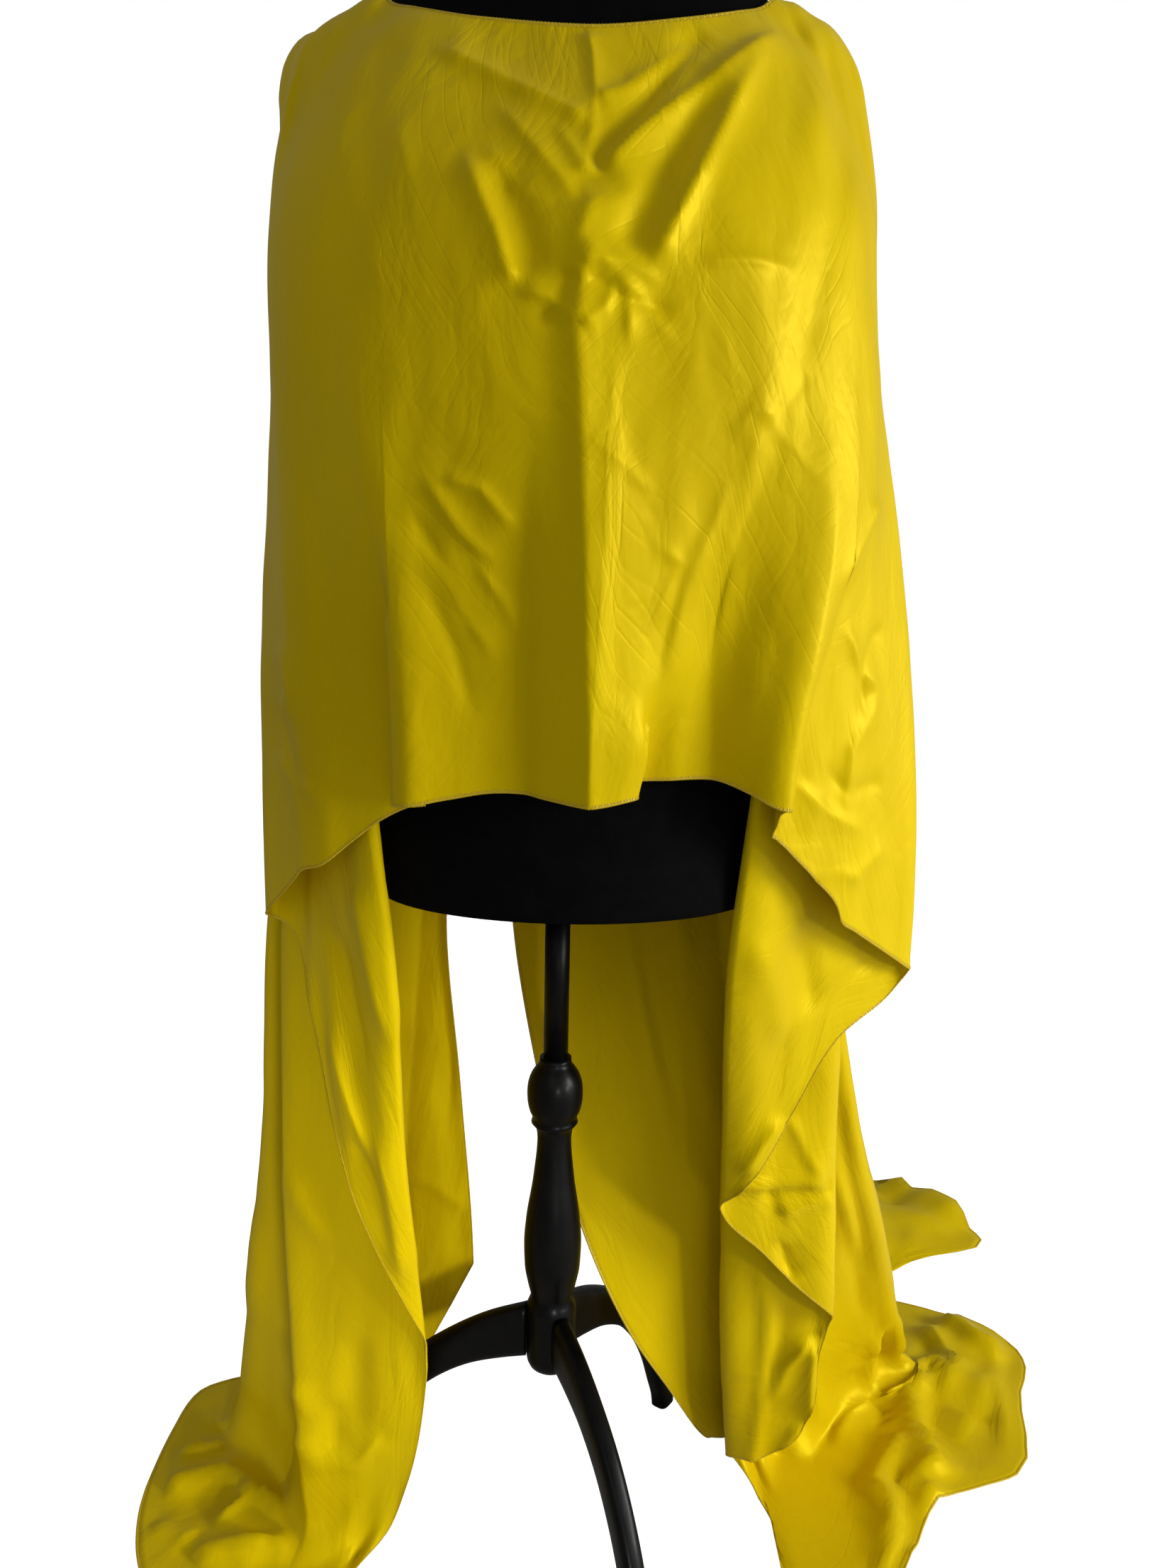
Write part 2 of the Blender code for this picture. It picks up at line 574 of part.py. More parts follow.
def back_grid(side, folds, edges, hems, trains):
    """Points of a back panel, row by row from the neckline to the hem."""
    us = [u for u, _ in back_plan(side, folds, BUST_Z)]
    rows = top_points(side, edges, folds, us)
    for j in range(BACK_ROWS + 1):
        z = lerp(BUST_Z, HIP_Z, j / BACK_ROWS)
        row = []
        for _, point in back_plan(side, folds, z):
            row.append(clear_of_form(Vector((point.x, point.y, z)), FORM_CLEARANCE))
        rows.append(row)
    rows = keep_clear(rows)
    columns = [back_column(side, folds, hems, trains, i, u) for i, u in enumerate(us)]
    for j in range(LEG_ROWS + LAST_ROWS):
        rows.append([column[j] for column in columns])
    return rows


def grid_triangles(rows):
    """Triangles over a grid of points, as triples of (row, column). Each quad has its short diagonal."""
    triangles = []
    for j in range(len(rows) - 1):
        for i in range(len(rows[0]) - 1):
            corners = [(j, i), (j + 1, i), (j + 1, i + 1), (j, i + 1)]
            falling = (rows[j][i] - rows[j + 1][i + 1]).length
            rising = (rows[j + 1][i] - rows[j][i + 1]).length
            if rising < falling:
                corners = corners[1:] + corners[:1]
            triangles += [(corners[0], corners[1], corners[2]), (corners[0], corners[2], corners[3])]
    return triangles


def grid_normals(rows, triangles):
    """Normals of the cloth at its grid points. On a seam they lie in the seam's own plane."""
    normals = [[Vector() for _ in row] for row in rows]
    for triangle in triangles:
        points = [rows[j][i] for j, i in triangle]
        flat = (points[1] - points[0]).cross(points[2] - points[0]).normalized()
        for k, (j, i) in enumerate(triangle):
            ahead = points[(k + 1) % 3] - points[k]
            behind = points[(k + 2) % 3] - points[k]
            normals[j][i] += flat * ahead.angle(behind, 0.0)
    last = len(rows[0]) - 1
    for j, row in enumerate(rows):
        for i, point in enumerate(row):
            if (j == 0 or i in (0, last)) and abs(point.y) < SEAM_GAP:
                normals[j][i].y = 0.0
            elif i == last and point.z >= SLIT_Z and abs(point.x) < SLIT_REACH:
                normals[j][i].x = 0.0
            normals[j][i].normalize()
    return normals


def wall_from(rows):
    """A closed wall on both sides of a grid of points."""
    count_j = len(rows)
    count_i = len(rows[0])
    triangles = grid_triangles(rows)
    normals = grid_normals(rows, triangles)
    verts = []
    for way in (0.5, -0.5):
        for j in range(count_j):
            for i in range(count_i):
                verts.append(rows[j][i] + normals[j][i] * WALL * way)

    def at(layer, j, i):
        return layer * count_j * count_i + j * count_i + i

    faces = []
    for triangle in triangles:
        faces.append(tuple(at(0, *corner) for corner in triangle))
        faces.append(tuple(at(1, *corner) for corner in reversed(triangle)))
    loop = [(0, i) for i in range(count_i)]
    loop += [(j, count_i - 1) for j in range(1, count_j)]
    loop += [(count_j - 1, i) for i in range(count_i - 2, -1, -1)]
    loop += [(j, 0) for j in range(count_j - 2, 0, -1)]
    for k, (j, i) in enumerate(loop):
        next_j, next_i = loop[(k + 1) % len(loop)]
        faces.append((at(0, j, i), at(0, next_j, next_i), at(1, next_j, next_i), at(1, j, i)))
    return verts, faces


def ringed(rings):
    """A closed body through rings of equal count, capped flat at both ends."""
    count = len(rings[0])
    verts = [p for ring in rings for p in ring]
    faces = []
    for j in range(len(rings) - 1):
        for i in range(count):
            k = (i + 1) % count
            faces.append((j * count + i, j * count + k, (j + 1) * count + k, (j + 1) * count + i))
    faces.append(tuple(range(count - 1, -1, -1)))
    faces.append(tuple(range((len(rings) - 1) * count, len(rings) * count)))
    return verts, faces


def material(name, colour, roughness, metallic=0.0):
    made = bpy.data.materials.new(name)
    made.use_nodes = True
    shader = made.node_tree.nodes["Principled BSDF"]
    shader.inputs["Base Color"].default_value = colour
    shader.inputs["Roughness"].default_value = roughness
    shader.inputs["Metallic"].default_value = metallic
    made.diffuse_color = colour
    return made


def facing_out(verts, faces):
    """The same faces, turned over if they enclose a negative volume."""
    volume = 0.0
    for face in faces:
        for a, b in zip(face[1:-1], face[2:]):
            volume += verts[face[0]].dot(verts[a].cross(verts[b]))
    return faces if volume > 0 else [face[::-1] for face in faces]


def add_node(name, body, made):
    verts, faces = body
    faces = facing_out(verts, faces)
    mesh = bpy.data.meshes.new(name)
    mesh.from_pydata([tuple(v) for v in verts], [], faces)
    mesh.validate()
    mesh.update()
    mesh.materials.append(made)
    thing = bpy.data.objects.new(name, mesh)
    bpy.context.scene.collection.objects.link(thing)
    for face in mesh.polygons:
        face.use_smooth = True
    return thing


def form_torso():
    rings = []
    for section in FORM_SECTIONS:
        ring = []
        for k in range(FORM_SIDES):
            turn = 2 * math.pi * k / FORM_SIDES
            depth = section.back if math.sin(turn) > 0 else -section.front
            x = section.centre_x + section.half_x * math.cos(turn)
            ring.append(Vector((x, depth * math.sin(turn), section.z)))
        rings.append(ring)
    return ringed(rings)


def form_braid(side):
    """A two-strand cord on the form's shoulder ridge, from the neck to the cape's corner."""
    spots = []
    for k in range(BRAID_RINGS + 1):
        z = lerp(BRAID_HIGH_Z, BRAID_LOW_Z, k / BRAID_RINGS)
        x = along(FORM_SECTIONS, "z", "centre_x", z) + side * along(FORM_SECTIONS, "z", "half_x", z)
        spots.append(Vector((x, 0, z)))
    rings = []
    for k, spot in enumerate(spots):
        ahead = spots[min(k + 1, BRAID_RINGS)] - spots[max(k - 1, 0)]
        ahead.normalize()
        out = ahead.cross(Vector((0, 1, 0))) * side
        across = Vector((0, 1, 0))
        centre = spot + out * (BRAID_RADIUS + BRAID_GAP)
        twist = math.radians(BRAID_TWIST) * k
        ring = []
        for i in range(BRAID_SIDES):
            turn = 2 * math.pi * i / BRAID_SIDES
            lobe = BRAID_RADIUS * (0.80 + 0.20 * math.cos(2 * (turn - twist)))
            ring.append(centre + out * lobe * math.cos(turn) + across * side * lobe * math.sin(turn))
        rings.append(ring)
    return ringed(rings)


def turned_body(profile, sides):
    rings = []
    for cut in profile:
        ring = []
        for k in range(sides):
            turn = 2 * math.pi * k / sides
            ring.append(Vector((cut.radius * math.cos(turn), cut.radius * math.sin(turn), cut.z)))
        rings.append(ring)
    return ringed(rings)


def stand_leg(angle):
    turn = math.radians(angle)
    out = Vector((math.cos(turn), math.sin(turn), 0))
    across = Vector((-math.sin(turn), math.cos(turn), 0))
    up = Vector((0, 0, 1))
    rings = []
    last = len(LEG_PROFILE) - 1
    for k, cut in enumerate(LEG_PROFILE):
        before = LEG_PROFILE[max(k - 1, 0)]
        after = LEG_PROFILE[min(k + 1, last)]
        ahead = out * (after.radius - before.radius) + up * (after.z - before.z)
        ahead.normalize()
        rise = across.cross(ahead)
        if k == 0:
            rise = -up
        if k >= last - 1:
            rise = -out
        centre = out * cut.radius + up * cut.z
        ring = []
        for i in range(LEG_SIDES):
            part = 2 * math.pi * (i + 0.5) / LEG_SIDES
            wide = math.copysign(abs(math.cos(part)) ** 0.6, math.cos(part)) * LEG_WIDTH / 2
            tall = math.copysign(abs(math.sin(part)) ** 0.6, math.sin(part)) * cut.height / 2
            ring.append(centre + across * wide + rise * tall)
        rings.append(ring)
    return ringed(rings)


def shifted(rows, y):
    return [[p + Vector((0, y, 0)) for p in row] for row in rows]


def slit_gap(rows, side):
    """Keep the centre-back edges a seam's gap apart where they meet."""
    for row in rows:
        row[-1] = row[-1] + Vector((side * SEAM_GAP / 2, 0, 0))
    return rows


def join_centre_back(left, right):
    """Bring both centre-back edges together from the neckline down to the slit."""
    for row_left, row_right in zip(left, right):
        z = row_left[-1].z
        if z < SLIT_Z - 1e-6 or abs(z - row_right[-1].z) > 1e-6:
            break
        middle = (row_left[-1] + row_right[-1]) / 2
        row_left[-1] = middle.copy()
        row_right[-1] = middle.copy()
    return slit_gap(left, -1), slit_gap(right, 1)


def centre_footprint(things):
    lows = [min(v.co[axis] for thing in things for v in thing.data.vertices) for axis in range(3)]
    highs = [max(v.co[axis] for thing in things for v in thing.data.vertices) for axis in range(3)]
    shift = Vector((-(lows[0] + highs[0]) / 2, -(lows[1] + highs[1]) / 2, 0.0))
    for thing in things:
        for v in thing.data.vertices:
            v.co += shift
    print("moved to the footprint's centre by", [round(value, 5) for value in shift])


def stand_pole():
    low = Turning(POLE_FOOT_Z + REST_GAP, POLE_RADIUS)
    high = Turning(FORM_SECTIONS[0].z - REST_GAP, POLE_RADIUS)
    return turned_body((low, high), ROUND_SIDES)


def main():
    for thing in list(bpy.data.objects):
        bpy.data.objects.remove(thing)
    left = back_grid("left", LEFT_FOLDS, LEFT_BACK_EDGE, LEFT_HEM, LEFT_TRAIN)
    right = back_grid("right", RIGHT_FOLDS, RIGHT_BACK_EDGE, RIGHT_HEM, RIGHT_TRAIN)
    left, right = join_centre_back(left, right)
    front = wall_from(shifted(front_grid(), -SEAM_GAP / 2))
    left = wall_from(shifted(left, SEAM_GAP / 2))
    right = wall_from(shifted(right, SEAM_GAP / 2))
    column = turned_body(COLUMN, ROUND_SIDES)
    things = [
        add_node("cape_front", front, material("satin_front", SATIN, 0.35)),
        add_node("cape_back_left", left, material("satin_back_left", SATIN, 0.35)),
        add_node("cape_back_right", right, material("satin_back_right", SATIN, 0.35)),
        add_node("form_torso", form_torso(), material("form_cloth", FORM_BLACK, 0.9)),
        add_node("form_braid_left", form_braid(-1), material("braid_left", BRAID_BLACK, 0.8)),
        add_node("form_braid_right", form_braid(1), material("braid_right", BRAID_BLACK, 0.8)),
        add_node("stand_column", column, material("column_wood", WOOD_BLACK, 0.4)),
        add_node("stand_pole", stand_pole(), material("pole_steel", STEEL_BLACK, 0.4, 1.0)),
    ]
    for name, angle in LEG_ANGLES:
        leg_wood = material("leg_wood_" + name, WOOD_BLACK, 0.4)
        things.append(add_node("stand_leg_" + name, stand_leg(angle), leg_wood))
    centre_footprint(things)


main()
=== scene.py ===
"""Looks of a satin cape on a limbless dress form with a tripod stand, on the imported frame.

Metres, +Z up. The wearer faces -Y. Sizes are given about the stand's pole and moved by FOOTPRINT.
"""

import math
from collections import namedtuple

import bpy
import numpy as np
from bpy.props import FloatProperty, FloatVectorProperty, PointerProperty
from bpy.types import Operator, Panel, PropertyGroup
from mathutils import Matrix, Vector, noise
from mathutils.bvhtree import BVHTree


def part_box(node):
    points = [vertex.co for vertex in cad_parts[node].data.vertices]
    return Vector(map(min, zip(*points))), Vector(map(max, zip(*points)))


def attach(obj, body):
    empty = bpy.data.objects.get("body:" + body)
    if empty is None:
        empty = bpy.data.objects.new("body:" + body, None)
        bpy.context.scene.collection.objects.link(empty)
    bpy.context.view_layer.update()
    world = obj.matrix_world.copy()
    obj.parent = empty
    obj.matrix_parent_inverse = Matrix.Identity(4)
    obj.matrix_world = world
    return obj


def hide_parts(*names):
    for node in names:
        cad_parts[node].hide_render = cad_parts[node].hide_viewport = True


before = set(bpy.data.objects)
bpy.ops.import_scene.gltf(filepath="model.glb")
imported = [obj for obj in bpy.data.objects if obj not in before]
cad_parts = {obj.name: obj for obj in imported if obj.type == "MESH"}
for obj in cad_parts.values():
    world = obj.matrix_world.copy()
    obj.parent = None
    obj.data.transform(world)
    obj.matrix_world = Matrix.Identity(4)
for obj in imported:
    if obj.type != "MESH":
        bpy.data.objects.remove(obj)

bl_info = {
    "name": "Satin Cape",
    "version": (1, 0, 0),
    "blender": (4, 5, 0),
    "location": "View3D > Sidebar > Cape",
    "description": "Builds a draped satin cape, its dress form and its stand",
    "category": "Add Mesh",
}

MM = 0.001
TINY = 1e-12
WALL = 2.0 * MM
SEAM_GAP = 0.3 * MM
REST_GAP = 0.3 * MM
FORM_CLEARANCE = 1.7 * MM

# Heights of the named sections of the cape.
BUST_Z = 1.28
BELT_Z = 1.12
HIP_Z = 0.86
SLIT_Z = 1.12
FLOOR_Z = WALL / 2
LEVEL_Z = (0.86, 0.65, 0.45, 0.25, 0.0)

# FULLNESS makes the cape's plan fuller than an ellipse (2), and ARC_SPAN is the share of a fold's step
# that its round edge takes up.
FULLNESS = 2.3
ARC_SPAN = 0.12

# The dress form by height. front and back are its foremost and rearmost y.
Section = namedtuple("Section", "z centre_x half_x front back")
FORM_SECTIONS = (
    Section(0.727, 0.008, 0.183, -0.115, 0.115),
    Section(0.800, 0.006, 0.187, -0.120, 0.122),
    Section(0.860, 0.005, 0.184, -0.118, 0.120),
    Section(0.950, 0.003, 0.164, -0.108, 0.106),
    Section(1.060, 0.002, 0.134, -0.100, 0.088),
    Section(1.160, 0.002, 0.149, -0.118, 0.100),
    Section(1.270, 0.002, 0.170, -0.148, 0.112),
    Section(1.330, 0.002, 0.186, -0.140, 0.112),
    Section(1.380, 0.002, 0.208, -0.118, 0.103),
    Section(1.420, 0.002, 0.236, -0.098, 0.088),
    Section(1.445, 0.001, 0.243, -0.084, 0.076),
    Section(1.457, 0.001, 0.242, -0.076, 0.068),
    Section(1.469, 0.005, 0.234, -0.070, 0.062),
    Section(1.480, 0.009, 0.222, -0.066, 0.058),
    Section(1.489, 0.009, 0.211, -0.063, 0.057),
    Section(1.497, 0.009, 0.199, -0.062, 0.056),
    Section(1.506, 0.009, 0.179, -0.062, 0.058),
    Section(1.515, 0.006, 0.155, -0.062, 0.060),
    Section(1.530, 0.003, 0.119, -0.066, 0.065),
    Section(1.550, 0.000, 0.087, -0.063, 0.062),
    Section(1.575, 0.000, 0.069, -0.058, 0.058),
    Section(1.610, 0.000, 0.063, -0.055, 0.055),
    Section(1.620, 0.000, 0.056, -0.049, 0.049),
)

# The cape's smooth plan by height, before its folds.
Drape = namedtuple("Drape", "z left right front back")
CAPE_SECTIONS = (
    Drape(1.280, -0.263, 0.272, -0.160, 0.135),
    Drape(1.185, -0.267, 0.284, -0.160, 0.138),
    Drape(1.030, -0.273, 0.300, -0.160, 0.141),
    Drape(0.900, -0.278, 0.311, -0.160, 0.143),
    Drape(0.790, -0.284, 0.323, -0.160, 0.145),
    Drape(0.651, -0.291, 0.352, -0.160, 0.148),
    Drape(0.000, -0.310, 0.352, -0.160, 0.148),
)

# The top edge by angle from the left seam (0) round the front or the back to the right seam (180).
# fall_y and fall_z point the way the cloth leaves the edge, reach is how far it keeps to that.
Edge = namedtuple("Edge", "angle x y z fall_y fall_z reach")
FRONT_EDGE = (
    Edge(0, -0.248, 0.000, 1.456, 0.00, -1.00, 0.060),
    Edge(6, -0.219, 0.000, 1.4795, -0.75, -0.66, 0.055),
    Edge(11, -0.196, 0.000, 1.4965, -0.85, -0.53, 0.050),
    Edge(15.1, -0.175, 0.000, 1.507, -0.85, -0.53, 0.045),
    Edge(34, -0.135, -0.058, 1.486, -0.55, -0.83, 0.050),
    Edge(58, -0.075, -0.088, 1.467, -0.40, -0.92, 0.055),
    Edge(94, 0.015, -0.100, 1.458, -0.30, -0.95, 0.060),
    Edge(126, 0.097, -0.085, 1.471, -0.40, -0.92, 0.055),
    Edge(148, 0.150, -0.052, 1.491, -0.55, -0.83, 0.050),
    Edge(165.3, 0.184, 0.000, 1.510, -0.85, -0.53, 0.045),
    Edge(169.7, 0.207, 0.000, 1.501, -0.85, -0.53, 0.050),
    Edge(174, 0.230, 0.000, 1.485, -0.75, -0.66, 0.055),
    Edge(180, 0.250, 0.000, 1.457, 0.00, -1.00, 0.060),
)
LEFT_BACK_EDGE = (
    Edge(0, -0.248, 0.000, 1.456, 0.00, -1.00, 0.060),
    Edge(6, -0.219, 0.000, 1.4795, 0.75, -0.66, 0.055),
    Edge(11, -0.196, 0.000, 1.4965, 0.85, -0.53, 0.050),
    Edge(15.2, -0.175, 0.000, 1.507, 0.85, -0.53, 0.045),
    Edge(34, -0.132, 0.056, 1.494, 0.50, -0.87, 0.050),
    Edge(60, -0.070, 0.078, 1.486, 0.35, -0.94, 0.055),
    Edge(90, 0.003, 0.083, 1.484, 0.30, -0.95, 0.060),
)
RIGHT_BACK_EDGE = (
    Edge(0, 0.250, 0.000, 1.457, 0.00, -1.00, 0.060),
    Edge(6, 0.230, 0.000, 1.485, 0.75, -0.66, 0.055),
    Edge(11, 0.207, 0.000, 1.501, 0.85, -0.53, 0.050),
    Edge(16.2, 0.184, 0.000, 1.510, 0.85, -0.53, 0.045),
    Edge(34, 0.140, 0.056, 1.496, 0.50, -0.87, 0.050),
    Edge(60, 0.076, 0.078, 1.486, 0.35, -0.94, 0.055),
    Edge(90, 0.003, 0.083, 1.484, 0.30, -0.95, 0.060),
)

# Folds of the front at its hem. angle is where the fold starts on the bust, start is the height at
# which it begins to leave the smooth form, radius is the cloth's bend at its edge.
FrontFold = namedtuple("FrontFold", "name angle x y z start radius quads spans")
FRONT_FOLDS = (
    FrontFold("left seam", 0, -0.289, 0.000, 0.694, 1.28, 0.010, 2, 5),
    FrontFold("left side", 26, -0.226, -0.080, 0.764, 1.28, 0.045, 1, 3),
    FrontFold("under pleat", 55, -0.119, -0.116, 0.832, 1.14, 0.007, 2, 1),
    FrontFold("left pleat", 60, -0.137, -0.146, 0.837, 1.14, 0.007, 2, 2),
    FrontFold("left middle", 76, -0.048, -0.150, 0.850, 1.28, 0.060, 1, 2),
    FrontFold("centre ridge", 94, 0.028, -0.164, 0.844, 1.28, 0.006, 2, 1),
    FrontFold("small pleat", 105, 0.068, -0.153, 0.849, 1.02, 0.006, 2, 1),
    FrontFold("small valley", 109, 0.061, -0.130, 0.859, 1.02, 0.006, 2, 2),
    FrontFold("right middle", 122, 0.130, -0.126, 0.861, 1.28, 0.060, 1, 2),
    FrontFold("right wave", 138, 0.197, -0.134, 0.838, 1.14, 0.006, 2, 1),
    FrontFold("right hollow", 146, 0.191, -0.110, 0.808, 1.14, 0.006, 2, 2),
    FrontFold("right side", 157, 0.265, -0.066, 0.724, 1.28, 0.045, 1, 5),
    FrontFold("right seam", 180, 0.351, 0.000, 0.651, 1.28, 0.010, 2, 0),
)

# Folds of the back panels, each a plan position at the heights in LEVEL_Z, from the side seam to the
# centre back. spans is how many quads cross the cloth from this fold to the next one.
Fold = namedtuple("Fold", "name angle hip thigh knee shin floor radius quads spans")
LEFT_FOLDS = (
    Fold("seam", 0, (-0.280, 0.000), (-0.291, 0.000), (-0.300, -0.050), (-0.310, -0.065),
         (-0.310, -0.070), 0.010, 2, 3),
    Fold("front flap", 12, (-0.168, -0.094), (-0.152, -0.068), (-0.144, -0.055), (-0.127, -0.045),
         (-0.108, -0.045), 0.008, 3, 5),
    Fold("left ridge", 26, (-0.246, 0.040), (-0.284, 0.032), (-0.281, 0.004), (-0.273, -0.018),
         (-0.257, -0.036), 0.008, 3, 2),
    Fold("inner fold", 38, (-0.206, 0.086), (-0.210, 0.080), (-0.222, 0.068), (-0.262, 0.056),
         (-0.295, 0.042), 0.010, 2, 2),
    Fold("outer fold", 54, (-0.258, 0.118), (-0.320, 0.112), (-0.330, 0.114), (-0.352, 0.130),
         (-0.385, 0.150), 0.011, 3, 7),
    Fold("centre back", 92, (-0.104, 0.141), (-0.128, 0.145), (-0.111, 0.135), (-0.095, 0.122),
         (-0.090, 0.120), 0.0, 0, 0),
)
RIGHT_FOLDS = (
    Fold("seam", 0, (0.315, 0.000), (0.352, 0.000), (0.350, -0.030), (0.350, -0.040),
         (0.350, -0.040), 0.010, 2, 3),
    Fold("front flap", 12, (0.177, -0.092), (0.163, -0.060), (0.171, -0.018), (0.174, -0.010),
         (0.174, -0.010), 0.008, 3, 3),
    Fold("creased flap", 24, (0.262, 0.022), (0.286, 0.022), (0.296, 0.030), (0.306, 0.036),
         (0.310, 0.040), 0.008, 3, 3),
    Fold("inner column", 36, (0.212, 0.070), (0.200, 0.068), (0.182, 0.058), (0.185, 0.050),
         (0.205, 0.062), 0.009, 3, 8),
    Fold("outer fold", 50, (0.280, 0.108), (0.300, 0.100), (0.333, 0.105), (0.387, 0.166),
         (0.452, 0.252), 0.011, 3, 13),
    Fold("centre back", 88, (-0.068, 0.143), (-0.055, 0.150), (-0.014, 0.100), (0.062, 0.047),
         (0.200, 0.106), 0.0, 0, 0),
)

# Where each panel's hem is. u counts folds from the side seam. A hem above the floor has z only.
Hem = namedtuple("Hem", "u z")
LEFT_HEM = (
    Hem(0.00, 0.694), Hem(0.20, 0.655), Hem(0.36, 0.585), Hem(0.50, 0.475), Hem(0.66, 0.410),
    Hem(0.82, 0.330), Hem(0.94, 0.285), Hem(1.00, 0.250), Hem(1.08, 0.170), Hem(1.24, 0.078),
    Hem(1.41, 0.020), Hem(1.58, 0.000), Hem(4.47, 0.000), Hem(4.60, 0.020), Hem(4.73, 0.085),
    Hem(4.86, 0.160), Hem(5.00, 0.236),
)
RIGHT_HEM = (
    Hem(0.00, 0.651), Hem(0.12, 0.604), Hem(0.34, 0.588), Hem(0.62, 0.500), Hem(0.82, 0.452),
    Hem(0.94, 0.408), Hem(1.00, 0.398), Hem(1.06, 0.376), Hem(1.30, 0.342), Hem(1.64, 0.288),
    Hem(2.00, 0.234), Hem(2.14, 0.130), Hem(2.35, 0.070), Hem(2.65, 0.048), Hem(2.94, 0.044),
    Hem(3.06, 0.034), Hem(3.15, 0.000), Hem(5.00, 0.000),
)

# Where the cloth that lies on the floor ends, the point that it bends past, how high it arches, and
# the radius of its bend where it meets the floor.
Train = namedtuple("Train", "u x y via_x via_y arch bend")
LEFT_TRAIN = (
    Train(1.59, -0.205, -0.075, -0.202, -0.055, 0.000, 0.012),
    Train(1.75, -0.240, -0.145, -0.225, -0.090, 0.000, 0.030),
    Train(2.00, -0.300, -0.170, -0.275, -0.105, 0.000, 0.030),
    Train(2.50, -0.360, -0.135, -0.320, -0.060, 0.000, 0.030),
    Train(3.00, -0.425, -0.070, -0.360, -0.010, 0.000, 0.025),
    Train(3.50, -0.452, 0.000, -0.390, 0.050, 0.000, 0.030),
    Train(4.00, -0.460, 0.100, -0.420, 0.125, 0.000, 0.035),
    Train(4.15, -0.455, 0.180, -0.410, 0.170, 0.000, 0.035),
    Train(4.33, -0.385, 0.228, -0.350, 0.190, 0.000, 0.030),
    Train(4.47, -0.262, 0.155, -0.250, 0.142, 0.000, 0.015),
)
RIGHT_TRAIN = (
    Train(3.17, 0.243, 0.028, 0.240, 0.050, 0.000, 0.010),
    Train(3.28, 0.255, -0.075, 0.258, 0.010, 0.000, 0.010),
    Train(3.39, 0.305, -0.135, 0.300, -0.010, 0.000, 0.015),
    Train(3.48, 0.380, -0.052, 0.350, 0.030, 0.000, 0.025),
    Train(3.64, 0.456, 0.050, 0.410, 0.110, 0.000, 0.030),
    Train(3.82, 0.543, 0.080, 0.470, 0.160, 0.000, 0.030),
    Train(3.92, 0.590, 0.200, 0.520, 0.225, 0.000, 0.030),
    Train(4.00, 0.630, 0.292, 0.540, 0.275, 0.000, 0.030),
    Train(4.12, 0.560, 0.375, 0.500, 0.320, 0.000, 0.030),
    Train(4.22, 0.485, 0.412, 0.440, 0.340, 0.000, 0.030),
    Train(4.29, 0.447, 0.430, 0.400, 0.365, 0.000, 0.030),
    Train(4.35, 0.540, 0.510, 0.375, 0.470, 0.006, 0.030),
    Train(4.41, 0.665, 0.560, 0.370, 0.570, 0.020, 0.030),
    Train(4.46, 0.650, 0.612, 0.350, 0.630, 0.045, 0.030),
    Train(4.56, 0.600, 0.672, 0.315, 0.660, 0.060, 0.030),
    Train(4.66, 0.520, 0.750, 0.285, 0.640, 0.050, 0.030),
    Train(4.78, 0.400, 0.690, 0.256, 0.520, 0.010, 0.030),
    Train(4.88, 0.320, 0.560, 0.236, 0.400, 0.000, 0.030),
    Train(5.00, 0.260, 0.420, 0.206, 0.250, 0.000, 0.025),
)

# How the cloth is kept off the dress form: passes over the quads, pushes a point, the step that
# measures the form's slope, and the ratio past which a point is well clear.
CLEAR_PASSES = 3
CLEAR_PUSHES = 4
SLOPE_STEP = 0.5 * MM
CLEAR_RATIO = 1.4

# Rows of quads from the neckline to the hem. TOP_CROWDING above 1 draws the first ones together, and
# the last ones share a column's end, from LAST_DROP above the hem or the floor. FLOOR_STEPS measure
# what lies on the floor, and SAME_PLACE is a distance that counts as none.
TOP_ROWS = 6
TOP_CROWDING = 1.5
FRONT_ROWS = 9
BACK_ROWS = 4
LEG_ROWS = 9
LAST_ROWS = 5
LAST_DROP = 0.12
FLOOR_STEPS = 8
SAME_PLACE = 0.001 * MM

# A fold's bend is at most this share of the room to the next fold.
TIGHTEST = 0.4

# The Bezier curve from the top edge down to the bust.
FALL_LIFT = 0.07
FALL_SPREAD = 0.5

# The stand.
POLE_RADIUS = 12.5 * MM
POLE_FOOT_Z = 0.55
Turning = namedtuple("Turning", "z radius")
COLUMN = (
    Turning(0.198, 0.016), Turning(0.203, 0.023), Turning(0.212, 0.026), Turning(0.272, 0.026),
    Turning(0.282, 0.022), Turning(0.296, 0.025), Turning(0.318, 0.029), Turning(0.345, 0.030),
    Turning(0.372, 0.028), Turning(0.420, 0.021), Turning(0.462, 0.0175), Turning(0.474, 0.019),
    Turning(0.480, 0.024), Turning(0.485, 0.0225), Turning(0.492, 0.0255), Turning(0.503, 0.0280),
    Turning(0.513, 0.0285), Turning(0.523, 0.0275), Turning(0.533, 0.0240), Turning(0.541, 0.0185),
    Turning(0.544, 0.0165), Turning(0.550, 0.0160),
)
HUB_RADIUS = 26 * MM
LEG_WIDTH = 22 * MM
LEG_SQUARENESS = 0.6
Leg = namedtuple("Leg", "radius z height")
LEG_PROFILE = (
    Leg(HUB_RADIUS + REST_GAP, 0.240, 0.060), Leg(0.060, 0.230, 0.052), Leg(0.100, 0.213, 0.042),
    Leg(0.140, 0.186, 0.036), Leg(0.175, 0.148, 0.032), Leg(0.205, 0.098, 0.029),
    Leg(0.226, 0.045, 0.027), Leg(0.238, 0.012, 0.028), Leg(0.240, 0.000, 0.028),
)
LEG_ANGLES = (("front", -65.0), ("left", 175.0), ("back", 55.0))

